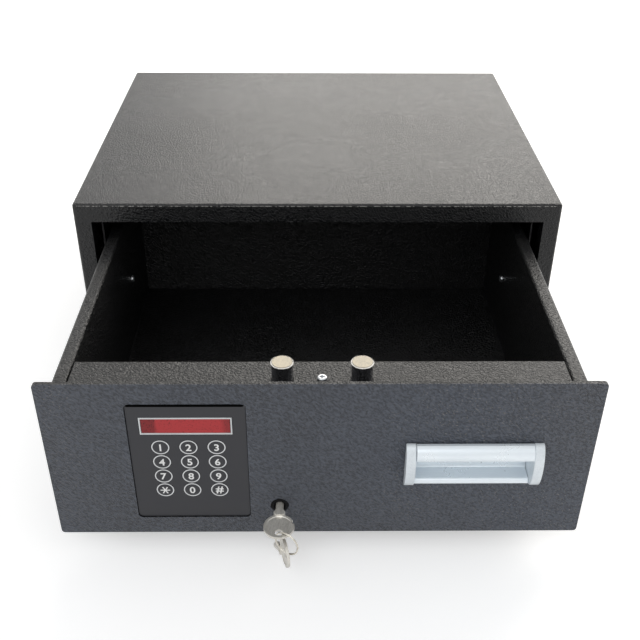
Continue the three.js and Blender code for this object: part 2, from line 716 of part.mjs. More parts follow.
// Pan-head screw with a cross recess: the seat is at height 0, the head above it
function panHeadScrew() {
  const shank = [[0, -SCREW_LENGTH], [SCREW_D / 2, -SCREW_LENGTH], [SCREW_D / 2, 0]];
  const head = [[SCREW_HEAD_D / 2, 0], [SCREW_HEAD_D / 2, SCREW_RIM], [SCREW_CROWN_D / 2, SCREW_CROWN],
    [0, SCREW_HEAD]];
  const body = turnedZ([...shank, ...head], 0, 0, SMALL_SIDES);
  const [slot, arm] = [CROSS_WIDTH / 2, CROSS_LENGTH / 2];
  const floor = SCREW_HEAD - CROSS_DEPTH;
  const across = block(-arm, arm, -slot, slot, floor, SCREW_HEAD + PAST);
  const along = block(-slot, slot, -arm, arm, floor, SCREW_HEAD + PAST);
  return cut(body, across, along);
}

function trayScrew(side, y) {
  return panHeadScrew().rotate([0, -side * 90, 0]).translate([side * (TRAY_IN_X - FIT), y, SLIDE_Z]);
}

function housingScrew() {
  return panHeadScrew().translate([BOLT_CENTRE_X, BOLT_Y, RIM_Z + FIT]);
}

// Drawer front: thick plate cut out for the keypad, the handle and the lock
function frontPlate() {
  const face = roundedRect(-FRONT_X, FRONT_X, FRONT_LOW, FRONT_HIGH, FRONT_CORNER);
  const plate = alongY(face, FACE_Y, PLATE_BACK_Y);
  const [front, back] = [FACE_Y - PAST, PLATE_BACK_Y + PAST];
  const keypad = alongY(keypadOutline(FIT), front, back);
  const handle = alongY(handleCutout(), front, back);
  const lock = rodY(LOCK_D + 2 * FIT, LOCK_X, LOCK_Z, front, back, ROUND_SIDES);
  return cut(plate, keypad, handle, lock);
}

function keypadOutline(grow) {
  const halfX = KEYPAD_WIDTH / 2 + grow;
  const high = FRONT_HIGH - KEYPAD_DROP + grow;
  const low = high - KEYPAD_HEIGHT - 2 * grow;
  return roundedRect(KEYPAD_CENTRE_X - halfX, KEYPAD_CENTRE_X + halfX, low, high, KEYPAD_CORNER + grow);
}

// Housing: a folded cover across the tray, open at the front and below
function lockHousing() {
  const backY = HOUSING_BACK_Y - HOUSING_SHEET / 2;
  const topZ = RIM_Z - HOUSING_SHEET / 2;
  const low = FLOOR_Z + FIT;
  const fold = bent([[TRAY_FRONT_Y, topZ], [backY, topZ], [backY, low]], TRAY_BEND);
  const cover = alongX(sheet(fold, HOUSING_SHEET), -HOUSING_X, HOUSING_X);
  const endFront = TRAY_FRONT_Y + TRAY_SHEET + FIT;
  const endLine = bent([[endFront, topZ], [backY, topZ], [backY, low]], TRAY_BEND)
    .concat([new THREE.Vector2(endFront, low)]);
  const end = new THREE.Shape(endLine);
  const ends = [
    alongX(end, -HOUSING_X, -HOUSING_X + HOUSING_SHEET),
    alongX(end, HOUSING_X - HOUSING_SHEET, HOUSING_X)];
  const [under, over] = [RIM_Z - HOUSING_SHEET - PAST, RIM_Z + PAST];
  const bolts = boltPlaces().map((x) => rodZ(BOLT_D + 2 * RUN, x, BOLT_Y, under, over, ROUND_SIDES));
  const screw = rodZ(SCREW_D + 2 * FIT, BOLT_CENTRE_X, BOLT_Y, under, over);
  const battery = alongY(batteryOutline(-BATTERY_COVER_LAP),
    HOUSING_BACK_Y - HOUSING_SHEET - PAST, HOUSING_BACK_Y + PAST);
  return cut(join(cover, ...ends), ...bolts, screw, battery);
}

function boltPlaces() {
  return [BOLT_CENTRE_X - BOLT_PITCH / 2, BOLT_CENTRE_X + BOLT_PITCH / 2];
}

// Battery cover on the back of the housing, reached from inside the open drawer
const BATTERY_X = KEYPAD_CENTRE_X;
const BATTERY_Z = (FLOOR_Z + RIM_Z) / 2;

function batteryOutline(grow) {
  const halfX = BATTERY_COVER_WIDTH / 2 + grow;
  const halfZ = BATTERY_COVER_HEIGHT / 2 + grow;
  return roundedRect(BATTERY_X - halfX, BATTERY_X + halfX, BATTERY_Z - halfZ, BATTERY_Z + halfZ,
    BATTERY_CORNER);
}

function batteryCover() {
  const front = HOUSING_BACK_Y + FIT;
  const back = front + BATTERY_COVER_SHEET;
  const plate = alongY(batteryOutline(0), front, back);
  const step = -BATTERY_COVER_LAP - FIT;
  const tray = alongY(batteryOutline(step), front - HOUSING_SHEET, front + BATTERY_COVER_SHEET / 2);
  const hollow = alongY(batteryOutline(step - BATTERY_COVER_SHEET), front - HOUSING_SHEET - PAST, front);
  return cut(join(plate, tray), hollow);
}

// Holder for four round cells, open towards its cover
function batteryHolder() {
  const back = HOUSING_BACK_Y - HOUSING_SHEET - FIT;
  const front = back - BATTERY_D - FIT - BATTERY_WALL;
  const halfWidth = (BATTERY_COUNT * (BATTERY_D + FIT) + FIT) / 2;
  const halfHeight = BATTERY_LENGTH / 2 + BATTERY_TERMINAL + FIT;
  const box = block(BATTERY_X - halfWidth - BATTERY_WALL, BATTERY_X + halfWidth + BATTERY_WALL, front, back,
    BATTERY_Z - halfHeight - BATTERY_WALL, BATTERY_Z + halfHeight + BATTERY_WALL);
  const bay = block(BATTERY_X - halfWidth, BATTERY_X + halfWidth, front + BATTERY_WALL, back + PAST,
    BATTERY_Z - halfHeight, BATTERY_Z + halfHeight);
  return cut(box, bay);
}

function battery(number) {
  const up = number % 2 ? 1 : -1;
  const x = BATTERY_X + (number - (BATTERY_COUNT - 1) / 2) * (BATTERY_D + FIT);
  const y = HOUSING_BACK_Y - HOUSING_SHEET - FIT - BATTERY_D / 2;
  const half = BATTERY_LENGTH / 2;
  const can = rodZ(BATTERY_D, x, y, BATTERY_Z - half, BATTERY_Z + half);
  const [low, high] = ordered(BATTERY_Z + up * (half - FIT), BATTERY_Z + up * (half + BATTERY_TERMINAL));
  return join(can, rodZ(BATTERY_TERMINAL_D, x, y, low, high));
}

// Bolts: round, chamfered at the top, with a spigot riveted through the bar below
function bolt(x) {
  const low = BAR_TOP - BAR_THICK - FIT;
  const spigot = BOLT_SPIGOT_D / 2 - FIT;
  const r = BOLT_D / 2;
  return turnedZ([[0, low], [spigot, low], [spigot, BOLT_LOW], [r, BOLT_LOW],
    [r, BOLT_TOP - BOLT_CHAMFER], [r - BOLT_CHAMFER, BOLT_TOP], [0, BOLT_TOP]], x, BOLT_Y);
}

// Bolt bar: an angle that carries both bolts, with the rack and the tab for the key's cam
const BAR_LOW = BAR_TOP - BAR_THICK;
const WEB_BACK_Y = BOLT_Y + BOLT_D / 2 + BAR_REAR_EDGE;
const WEB_FRONT_Y = WEB_BACK_Y - BAR_THICK;
const RACK_LOW = BAR_LOW - RACK_LENGTH;
const PITCH_R = GEAR_MODULE * PINION_TEETH / 2;
const PINION_X = RACK_X + PITCH_R;
const PINION_Z = (BAR_LOW + RACK_LOW + BOLT_THROW) / 2;
const TOOTH_PITCH = Math.PI * GEAR_MODULE;
const TOOTH_HALF = (TOOTH_PITCH / 2 - BACKLASH / 2) / 2;
const FLANK = PRESSURE_ANGLE * DEGREE;
const TAB_TOP = LOCK_Z - CAM_WIDTH / 2 - FIT;

function rackLine() {
  const teeth = Math.floor(RACK_LENGTH / TOOTH_PITCH / 2);
  const points = [];
  for (let k = -teeth; k <= teeth; k++) {
    const z = PINION_Z + k * TOOTH_PITCH;
    if (z - TOOTH_PITCH / 2 < RACK_LOW || z + TOOTH_PITCH / 2 > BAR_LOW) continue;
    const root = TOOTH_HALF + DEDENDUM * Math.tan(FLANK);
    const tip = TOOTH_HALF - ADDENDUM * Math.tan(FLANK);
    points.push([RACK_X - DEDENDUM, z - root], [RACK_X + ADDENDUM, z - tip],
      [RACK_X + ADDENDUM, z + tip], [RACK_X - DEDENDUM, z + root]);
  }
  return points;
}

function boltBar() {
  const [left, right] = [boltPlaces()[0] - BAR_OVERHANG, boltPlaces()[1] + BAR_OVERHANG];
  const flange = block(left, right, BOLT_Y - BOLT_D / 2 - BAR_FRONT_EDGE, WEB_BACK_Y, BAR_LOW, BAR_TOP);
  const stemLeft = RACK_X - RACK_STEM;
  const legRight = stemLeft + LEG_WIDTH;
  const tabLeft = LOCK_X + CAM_HUB + FIT;
  const stem = polygon([[stemLeft, BAR_TOP], [stemLeft, TAB_TOP - LEG_BAND], [legRight, TAB_TOP - LEG_BAND],
    [legRight, RACK_LOW], [RACK_X - DEDENDUM, RACK_LOW], ...rackLine(), [RACK_X - DEDENDUM, BAR_LOW],
    [RACK_X - DEDENDUM, BAR_TOP]]);
  const web = alongY(stem, WEB_FRONT_Y, WEB_BACK_Y);
  const arm = block(tabLeft, legRight, WEB_FRONT_Y, WEB_BACK_Y, TAB_TOP - LEG_BAND, TAB_TOP);
  const tab = block(tabLeft, tabLeft + TAB_WIDTH, WEB_FRONT_Y - TAB_REACH, WEB_BACK_Y,
    TAB_TOP - TAB_THICK, TAB_TOP);
  const holes = boltPlaces().map((x) =>
    rodZ(BOLT_SPIGOT_D, x, BOLT_Y, BAR_LOW - PAST, BAR_TOP + PAST, ROUND_SIDES));
  return cut(join(flange, web, arm, tab), ...holes);
}

// Pinion with involute teeth, one gap set on the rack tooth beside it
function pinion() {
  const baseR = PITCH_R * Math.cos(FLANK);
  const involute = (r) => {
    const ratio = Math.max(r / baseR, 1);
    return Math.sqrt(ratio ** 2 - 1) - Math.acos(1 / ratio);
  };
  const halfAt = (r) => TOOTH_HALF / PITCH_R + involute(PITCH_R) - involute(Math.max(r, baseR));
  const rootR = PITCH_R - DEDENDUM;
  const tipR = PITCH_R + ADDENDUM;
  const radii = [rootR, baseR, PITCH_R, (PITCH_R + tipR) / 2, tipR];
  const points = [];
  for (let k = 0; k < PINION_TEETH; k++) {
    const centre = (k + 0.5) * 2 * Math.PI / PINION_TEETH;
    radii.forEach((r) => points.push([r, centre - halfAt(r)]));
    radii.slice().reverse().forEach((r) => points.push([r, centre + halfAt(r)]));
  }
  const outline = polygon(points.map(([r, turn]) =>
    [PINION_X + r * Math.cos(turn), PINION_Z + r * Math.sin(turn)]));
  const middleY = (WEB_FRONT_Y + WEB_BACK_Y) / 2;
  const gear = alongY(outline, middleY - PINION_WIDTH / 2, middleY + PINION_WIDTH / 2);
  const shaft = rodY(SHAFT_D, PINION_X, PINION_Z, GEARBOX_BACK_Y - SHAFT_DEPTH, middleY);
  return join(gear, shaft);
}

// Small geared motor on the front plate
const GEARBOX_BACK_Y = (WEB_FRONT_Y + WEB_BACK_Y) / 2 - PINION_WIDTH / 2 - RUN;

function motor() {
  const front = GEARBOX_BACK_Y - MOTOR_GEARBOX - MOTOR_CAN;
  const [left, right] = [PINION_X - MOTOR_WIDTH / 2, PINION_X + MOTOR_WIDTH / 2];
  const [low, high] = [PINION_Z - MOTOR_HEIGHT / 2, PINION_Z + MOTOR_HEIGHT / 2];
  const gearbox = block(left, right, GEARBOX_BACK_Y - MOTOR_GEARBOX, GEARBOX_BACK_Y, low, high);
  const can = cut(rodY(MOTOR_WIDTH, PINION_X, PINION_Z, front, GEARBOX_BACK_Y - MOTOR_GEARBOX / 2),
    block(left, right, front - PAST, GEARBOX_BACK_Y, high, high + MOTOR_WIDTH),
    block(left, right, front - PAST, GEARBOX_BACK_Y, low - MOTOR_WIDTH, low));
  const hole = rodY(SHAFT_D + 2 * FIT, PINION_X, PINION_Z,
    GEARBOX_BACK_Y - SHAFT_DEPTH - FIT, GEARBOX_BACK_Y + PAST);
  return cut(join(gearbox, can), hole);
}

// Guide: a bracket with two bored plates that keep the bolts upright
function boltGuide() {
  const [left, right] = [boltPlaces()[0] - BAR_OVERHANG, boltPlaces()[1] + BAR_OVERHANG];
  const wallY = TRAY_FRONT_Y + GUIDE_SHEET / 2;
  const edgeY = BOLT_Y + BOLT_D / 2 + BAR_REAR_EDGE;
  const low = BAR_TOP + GUIDE_ABOVE_BAR + GUIDE_SHEET / 2;
  const high = RIM_Z - HOUSING_SHEET - GUIDE_BELOW_TOP - GUIDE_SHEET / 2;
  const line = bent([[edgeY, low], [wallY, low], [wallY, high], [edgeY, high]], GUIDE_SHEET);
  const bracket = alongX(sheet(line, GUIDE_SHEET), left, right);
  const holes = boltPlaces().map((x) =>
    rodZ(BOLT_D + 2 * RUN, x, BOLT_Y, low - GUIDE_SHEET, high + GUIDE_SHEET, ROUND_SIDES));
  const screw = rodZ(SCREW_D + 2 * FIT, BOLT_CENTRE_X, BOLT_Y, high - GUIDE_SHEET, high + GUIDE_SHEET);
  return cut(bracket, ...holes, screw);
}

// Keypad frame: a thin face with a rim behind the front plate
const KEYPAD_FACE_Y = FACE_Y + KEYPAD_RECESS;
const SKIN_BACK_Y = KEYPAD_FACE_Y + KEYPAD_SKIN;
const RIM_FRONT_Y = PLATE_BACK_Y + FIT;
const RIM_BACK_Y = RIM_FRONT_Y + KEYPAD_RIM_THICK;
const DISPLAY_X = KEYPAD_CENTRE_X + DISPLAY_SHIFT;
const DISPLAY_Z = FRONT_HIGH - DISPLAY_DROP - DISPLAY_HEIGHT / 2;
const KEY_NAMES = ['1', '2', '3', '4', '5', '6', '7', '8', '9', 'star', '0', 'hash'];

function displayShape(grow) {
  const [halfX, halfZ] = [DISPLAY_WIDTH / 2 + grow, DISPLAY_HEIGHT / 2 + grow];
  return polygon([[DISPLAY_X - halfX, DISPLAY_Z - halfZ], [DISPLAY_X + halfX, DISPLAY_Z - halfZ],
    [DISPLAY_X + halfX, DISPLAY_Z + halfZ], [DISPLAY_X - halfX, DISPLAY_Z + halfZ]]);
}

function keyPlaces() {
  return KEY_NAMES.map((name, i) => {
    const column = i % KEY_COLUMNS - (KEY_COLUMNS - 1) / 2;
    const row = Math.floor(i / KEY_COLUMNS);
    return [name, KEYPAD_CENTRE_X + column * KEY_PITCH_X, FRONT_HIGH - KEY_DROP - row * KEY_PITCH_Z];
  });
}

function keypadFrame() {
  const body = join(alongY(keypadOutline(0), KEYPAD_FACE_Y, RIM_BACK_Y),
    alongY(keypadOutline(KEYPAD_RIM), RIM_FRONT_Y, RIM_BACK_Y));
  const pocket = alongY(keypadOutline(-KEYPAD_RIM_THICK), SKIN_BACK_Y, RIM_BACK_Y + PAST);
  const front = KEYPAD_FACE_Y - PAST;
  const display = alongY(displayShape(FIT), front, RIM_BACK_Y);
  const holes = keyPlaces().map(([, x, z]) => rodY(KEY_D + 2 * FIT, x, z, front, RIM_BACK_Y));
  return cut(body, pocket, display, ...holes);
}

function displayBezel() {
  const [front, back] = [KEYPAD_FACE_Y - BEZEL_PROUD, RIM_BACK_Y - BEZEL_SHORT];
  return cut(alongY(displayShape(0), front, back),
    alongY(displayShape(-BEZEL_WIDTH), front - PAST, back + PAST));
}

function displayWindow() {
  return alongY(displayShape(-BEZEL_WIDTH - FIT),
    KEYPAD_FACE_Y + BEZEL_PROUD / 2, RIM_BACK_Y - BEZEL_SHORT);
}

function keyCap(x, z) {
  const shoulder = SKIN_BACK_Y + FIT;
  const back = shoulder + KEY_FLANGE_THICK;
  const face = KEYPAD_FACE_Y;
  const r = KEY_D / 2;
  const profile = [[0, face - KEY_CROWN], [r - KEY_CROWN, face], [r, face + KEY_CROWN], [r, shoulder],
    [r + KEY_FLANGE, shoulder], [r + KEY_FLANGE, back], [0, back]];
  return turnedY(profile, x, z, SMALL_SIDES);
}

function circuitBoard() {
  const front = RIM_BACK_Y + FIT;
  const board = alongY(keypadOutline(-BOARD_INSET), front, front + BOARD_THICK);
  const behind = front + BOARD_THICK / 2;
  const display = alongY(displayShape(-BEZEL_WIDTH - FIT), RIM_BACK_Y - BEZEL_SHORT + FIT, behind);
  const domes = keyPlaces().map(([, x, z]) =>
    rodY(DOME_D, x, z, front - DOME_RISE, behind, DOME_SIDES));
  return join(board, display, ...domes);
}

// Pull handle: one strip forms the hood, its rolled rim and the finger recess behind and below it
const HANDLE_Z = FRONT_HIGH - HANDLE_DROP - HANDLE_HEIGHT / 2;

function handleCutout() {
  const halfX = HANDLE_WIDTH / 2 - HANDLE_LAP;
  const halfZ = HANDLE_HEIGHT / 2 - HANDLE_LAP + FIT;
  return roundedRect(HANDLE_CENTRE_X - halfX, HANDLE_CENTRE_X + halfX, HANDLE_Z - halfZ, HANDLE_Z + halfZ,
    FIT);
}

function handleBody() {
  const seat = -FIT - HANDLE_METAL / 2;
  const top = HANDLE_HEIGHT / 2 - HANDLE_METAL / 2;
  const hood = HANDLE_BULGE - HANDLE_METAL / 2 - FIT;
  const points = [];
  for (let k = 0; k <= HOOD_STEPS; k++) {
    const turn = k / HOOD_STEPS * Math.PI / 2;
    points.push([seat - (hood + seat) * Math.sin(turn), HOOD_LOW + (top - HOOD_LOW) * Math.cos(turn)]);
  }
  for (let k = 1; k <= HOOD_RIM_STEPS; k++) {
    const turn = Math.PI * (1 + k / (HOOD_RIM_STEPS + 1));
    points.push([HOOD_RIM_R - hood + HOOD_RIM_R * Math.cos(turn), HOOD_LOW + HOOD_RIM_R * Math.sin(turn)]);
  }
  const deep = HANDLE_RECESS - HANDLE_METAL / 2;
  const low = HANDLE_METAL + HANDLE_LAP - HANDLE_HEIGHT / 2;
  const recess = bent([points[points.length - 1], [HOOD_THROAT, -low], [deep, -low], [deep, low],
    [seat, low], [seat, -top]], HANDLE_BEND);
  const line = points.slice(0, -1).map(([y, z]) => new THREE.Vector2(y, z)).concat(recess);
  const placed = line.map((point) => new THREE.Vector2(FACE_Y + point.x, HANDLE_Z + point.y));
  const half = HANDLE_WIDTH / 2 - HANDLE_CAP - FIT;
  return alongX(sheet(placed, HANDLE_METAL), HANDLE_CENTRE_X - half, HANDLE_CENTRE_X + half);
}

function handleCap(side) {
  const points = [];
  for (let k = 0; k <= CAP_STEPS; k++) {
    const turn = k / CAP_STEPS * Math.PI;
    points.push([FACE_Y - FIT - CAP_EDGE - (HANDLE_BULGE - CAP_EDGE - FIT) * Math.sin(turn),
      HANDLE_Z + HANDLE_HEIGHT / 2 * Math.cos(turn)]);
  }
  points.push([FACE_Y - FIT, HANDLE_Z - HANDLE_HEIGHT / 2], [FACE_Y - FIT, HANDLE_Z + HANDLE_HEIGHT / 2]);
  const outer = HANDLE_CENTRE_X + side * HANDLE_WIDTH / 2;
  const inner = outer - side * HANDLE_CAP;
  const bulge = alongX(polygon(points), ...ordered(outer, inner));
  const halfZ = HANDLE_HEIGHT / 2 - HANDLE_LAP - FIT;
  const [left, right] = ordered(outer - side * (HANDLE_LAP + FIT), inner);
  const plug = block(left, right, FACE_Y - FIT - CAP_EDGE / 2, FACE_Y + HANDLE_RECESS,
    HANDLE_Z - halfZ, HANDLE_Z + halfZ);
  return join(bulge, plug);
}

// Override lock: cylinder, turning plug and cam
const LOCK_FRONT_Y = FACE_Y - LOCK_PROUD;
const LOCK_BACK_Y = FACE_Y + LOCK_LENGTH;
const PLUG_FRONT_Y = FACE_Y + PLUG_RECESS;

function lockCylinder() {
  const body = rodY(LOCK_D, LOCK_X, LOCK_Z, LOCK_FRONT_Y, LOCK_BACK_Y, ROUND_SIDES);
  return cut(body, rodY(PLUG_D + 2 * FIT, LOCK_X, LOCK_Z, LOCK_FRONT_Y - PAST, LOCK_BACK_Y + PAST));
}

function lockPlug() {
  const body = rodY(PLUG_D, LOCK_X, LOCK_Z, PLUG_FRONT_Y, LOCK_BACK_Y);
  const [front, floor] = [PLUG_FRONT_Y - PAST, PLUG_FRONT_Y + KEYWAY_DEPTH];
  const pin = rodY(TUBE_BORE - 2 * FIT, LOCK_X, LOCK_Z, front - PAST, floor + PAST);
  const keyway = cut(rodY(TUBE_D + 2 * FIT, LOCK_X, LOCK_Z, front, floor), pin);
  const rod = rodY(STUB_D, LOCK_X, LOCK_Z, LOCK_BACK_Y - PAST, LOCK_BACK_Y + PLUG_STUB);
  const stub = flatted(rod, STUB_FLAT);
  return join(cut(body, keyway), stub);
}

// Two flats on a round stub or hole, at this distance from its middle
function flatted(body, half) {
  const [front, back] = [LOCK_BACK_Y - 2 * PAST, LOCK_BACK_Y + PLUG_STUB + 2 * PAST];
  const [low, high] = [LOCK_Z - LOCK_D, LOCK_Z + LOCK_D];
  return cut(body, block(LOCK_X + half, LOCK_X + LOCK_D, front, back, low, high),
    block(LOCK_X - LOCK_D, LOCK_X - half, front, back, low, high));
}

function lockCam() {
  const front = LOCK_BACK_Y + FIT;
  const half = CAM_WIDTH / 2;
  const shape = new THREE.Shape();
  shape.moveTo(LOCK_X + half, LOCK_Z + CAM_REACH);
  shape.lineTo(LOCK_X - half, LOCK_Z + CAM_REACH);
  shape.lineTo(LOCK_X - half, LOCK_Z);
  shape.absarc(LOCK_X, LOCK_Z, CAM_HUB, Math.PI, 2 * Math.PI);
  shape.lineTo(LOCK_X + half, LOCK_Z);
  const plate = alongY(shape, front, front + CAM_THICK, SMALL_SIDES / 2);
  const hole = rodY(STUB_D + 2 * FIT, LOCK_X, LOCK_Z, front - PAST, front + CAM_THICK + PAST);
  return cut(plate, flatted(hole, STUB_FLAT + FIT));
}

// Key: a tube with a round bow. Its bow is centred on the origin and the tube runs along +Y.
const KEY_TIP = BOW_REACH + PLUG_RECESS + KEYWAY_DEPTH - FIT;

function tubeKey() {
  const half = BOW_THICK / 2;
  const face = half - BOW_RELIEF;
  const inner = BOW_D / 2 - BOW_RIM;
  const bow = turnedZ([[0, -face], [inner - BOW_RELIEF, -face], [inner, -half], [BOW_D / 2, -half],
    [BOW_D / 2, half], [inner, half], [inner - BOW_RELIEF, face], [0, face]], 0, 0);
  const tubeStart = BOW_D / 2 - BOW_RIM;
  const tube = cut(rodY(TUBE_D, 0, 0, tubeStart, KEY_TIP),
    rodY(TUBE_BORE, 0, 0, KEY_TIP - TUBE_DEPTH, KEY_TIP + PAST));
  const neck = alongZ(polygon([[-NECK_WIDTH / 2, NECK_Y], [-TUBE_D / 2, NECK_Y - NECK_TAPER],
    [TUBE_D / 2, NECK_Y - NECK_TAPER], [NECK_WIDTH / 2, NECK_Y], [TUBE_D / 2, NECK_Y + NECK_TAPER],
    [-TUBE_D / 2, NECK_Y + NECK_TAPER]]), -NECK_THICK / 2, NECK_THICK / 2);
  const hole = rodZ(BOW_HOLE_D, 0, -BOW_HOLE_OUT, -BOW_THICK, BOW_THICK);
  const turn = BOW_NOTCH_TURN * DEGREE;
  const notch = rodZ(BOW_NOTCH_D, BOW_D / 2 * Math.cos(turn), BOW_D / 2 * Math.sin(turn),
    -BOW_THICK, BOW_THICK);
  return cut(join(bow, neck, tube), hole, notch);
}

function lockKey() {
  return tubeKey().translate([LOCK_X, FACE_Y - BOW_REACH, LOCK_Z]);
}

// Ring through the bow's hole, hanging with its middle below and beside it
const RING_AT = new THREE.Vector3(LOCK_X, FACE_Y - BOW_REACH - BOW_HOLE_OUT, LOCK_Z);
const UP = new THREE.Vector3(0, 0, 1);
const ringTurn = RING_TURN * DEGREE;
const ringLean = RING_LEAN * DEGREE;
const ringAcross = new THREE.Vector3(Math.sin(ringTurn), -Math.cos(ringTurn), 0);
const RING_MIDDLE = RING_AT.clone()
  .addScaledVector(ringAcross, RING_R * Math.cos(ringLean))
  .addScaledVector(UP, -RING_R * Math.sin(ringLean));

function keyRing() {
  const geometry = new THREE.TorusGeometry(RING_R, RING_WIRE / 2, WIRE_SIDES, ROUND_SIDES);
  const basis = new THREE.Matrix4().makeBasis(ringAcross, UP, ringAcross.clone().cross(UP));
  geometry.applyMatrix4(basis.setPosition(RING_MIDDLE));
  return solid(geometry);
}

// Spare key: hangs from the lowest point of the ring, its tube towards the front plate
function spareKey() {
  const turn = SPARE_TURN * DEGREE;
  const dip = SPARE_DIP * DEGREE;
  const face = new THREE.Vector3(Math.cos(turn), Math.sin(turn), 0);
  const shank = UP.clone().cross(face).multiplyScalar(Math.cos(dip)).addScaledVector(UP, -Math.sin(dip));
  const hole = RING_MIDDLE.clone().addScaledVector(UP, -RING_R - SPARE_DROP);
  const place = new THREE.Matrix4().makeBasis(shank.clone().cross(face), shank, face);
  place.setPosition(hole.addScaledVector(shank, BOW_HOLE_OUT));
  return tubeKey().transform(place.elements);
}

add(drawer, 'drawer_tray', drawerTray(), drawerCoat);
add(drawer, 'tray_back', trayBack(), drawerCoat);
for (const [word, side] of [['left', -1], ['right', 1]]) {
  add(drawer, `tray_screw_front_${word}`, trayScrew(side, SCREW_PLACES[0]), zincSteel);
  add(drawer, `tray_screw_rear_${word}`, trayScrew(side, SCREW_PLACES[1]), zincSteel);
}
add(drawer, 'front_plate', frontPlate(), drawerCoat);
add(drawer, 'lock_housing', lockHousing(), drawerCoat);
add(drawer, 'housing_screw', housingScrew(), zincSteel);
add(drawer, 'battery_cover', batteryCover(), drawerCoat);
add(drawer, 'battery_holder', batteryHolder(), blackPlastic);
for (let i = 0; i < BATTERY_COUNT; i++) {
  add(drawer, `battery_${i + 1}`, battery(i), capMetal);
}
add(drawer, 'bolt_left', bolt(boltPlaces()[0]), chromeSteel);
add(drawer, 'bolt_right', bolt(boltPlaces()[1]), chromeSteel);
add(drawer, 'bolt_bar', boltBar(), zincSteel);
add(drawer, 'bolt_guide', boltGuide(), zincSteel);
add(drawer, 'drive_pinion', pinion(), brassGear);
add(drawer, 'motor', motor(), zincSteel);
add(drawer, 'keypad_frame', keypadFrame(), panelPlastic);
add(drawer, 'display_bezel', displayBezel(), greyPlastic);
add(drawer, 'display_window', displayWindow(), redAcrylic);
add(drawer, 'circuit_board', circuitBoard(), boardGreen);
for (const [name, x, z] of keyPlaces()) {
  add(drawer, `key_${name}`, keyCap(x, z), panelPlastic);
}
add(drawer, 'handle_body', handleBody(), aluminium);
add(drawer, 'handle_cap_left', handleCap(-1), capMetal);
add(drawer, 'handle_cap_right', handleCap(1), capMetal);
add(drawer, 'lock_cylinder', lockCylinder(), blackZinc);
add(drawer, 'lock_plug', lockPlug(), blackZinc);
add(drawer, 'lock_cam', lockCam(), zincSteel);
add(drawer, 'lock_key', lockKey(), nickelBrass);
add(drawer, 'key_ring', keyRing(), chromeSteel);
add(drawer, 'spare_key', spareKey(), nickelBrass);

export default model;
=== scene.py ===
import math
import bpy
from mathutils import Matrix, Vector


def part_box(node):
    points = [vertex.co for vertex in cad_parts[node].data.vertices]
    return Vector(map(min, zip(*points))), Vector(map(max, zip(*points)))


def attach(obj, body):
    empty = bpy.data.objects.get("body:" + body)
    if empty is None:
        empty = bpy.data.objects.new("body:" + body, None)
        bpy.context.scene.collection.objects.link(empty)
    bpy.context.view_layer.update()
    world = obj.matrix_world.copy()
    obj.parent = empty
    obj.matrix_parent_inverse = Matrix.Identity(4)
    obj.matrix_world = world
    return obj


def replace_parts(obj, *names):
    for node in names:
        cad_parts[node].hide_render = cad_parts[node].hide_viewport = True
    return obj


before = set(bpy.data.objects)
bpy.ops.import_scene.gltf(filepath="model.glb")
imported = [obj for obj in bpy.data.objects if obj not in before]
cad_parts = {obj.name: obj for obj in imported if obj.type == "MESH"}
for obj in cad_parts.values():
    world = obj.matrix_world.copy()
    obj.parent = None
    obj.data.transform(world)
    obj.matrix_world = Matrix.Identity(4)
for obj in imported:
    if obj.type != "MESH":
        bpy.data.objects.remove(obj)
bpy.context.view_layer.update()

# Camera
# It stands in front of the open drawer, a little left of its middle, and looks down at about 34 degrees. Its
# place was fitted to the straight edges that the photograph shows.
camera_place = Vector((-0.00766, -0.82425, 0.49483))
camera_pitch = 0.5857
camera_yaw = 0.0149
camera_roll = 0.0072
lens_millimetres = 50.505
forward = Vector((math.sin(camera_yaw) * math.cos(camera_pitch),
                  math.cos(camera_yaw) * math.cos(camera_pitch),
                  -math.sin(camera_pitch)))
level = Vector((math.cos(camera_yaw), -math.sin(camera_yaw), 0))
upright = level.cross(forward)
across = level * math.cos(camera_roll) + upright * math.sin(camera_roll)
upward = upright * math.cos(camera_roll) - level * math.sin(camera_roll)
camera_data = bpy.data.cameras.new("photo_camera")
camera_data.lens = lens_millimetres
camera_data.clip_start = 0.01
camera = bpy.data.objects.new("photo_camera", camera_data)
bpy.context.scene.collection.objects.link(camera)
turn = Matrix((across, upward, -forward)).transposed()
camera.matrix_world = Matrix.Translation(camera_place) @ turn.to_4x4()
bpy.context.scene.camera = camera
bpy.context.scene.view_settings.view_transform = "Standard"


# Cabinet
# A wrap of folded, powder-coated sheet steel with a pressed back, and a lipped spacer on each side for the
# slides. The coat dries in small cells, and pale dots along the top front edge are painted glints.
def add_node(tree, kind, inputs=None, **settings):
    made = tree.nodes.new(kind)
    for key, value in settings.items():
        setattr(made, key, value)
    for key, value in (inputs or {}).items():
        if isinstance(value, bpy.types.NodeSocket):
            tree.links.new(value, made.inputs[key])
        else:
            made.inputs[key].default_value = value
    return made


def sum_of(tree, *values):
    total = values[0]
    for value in values[1:]:
        total = add_node(tree, "ShaderNodeMath", {0: total, 1: value}, operation="ADD").outputs[0]
    return total


def times(tree, a, b):
    return add_node(tree, "ShaderNodeMath", {0: a, 1: b}, operation="MULTIPLY").outputs[0]


def spread(tree, value, low, high, to_low=0.0, to_high=1.0):
    ranges = {"Value": value, "From Min": low, "From Max": high, "To Min": to_low, "To Max": to_high}
    return add_node(tree, "ShaderNodeMapRange", ranges).outputs["Result"]


def blended(tree, factor, a, b):
    return add_node(tree, "ShaderNodeMix", {0: factor, 6: a, 7: b}, data_type="RGBA").outputs[2]


def noise(tree, place, scale, detail=2.0, roughness=0.5):
    inputs = {"Vector": place, "Scale": scale, "Detail": detail, "Roughness": roughness}
    return add_node(tree, "ShaderNodeTexNoise", inputs).outputs["Fac"]


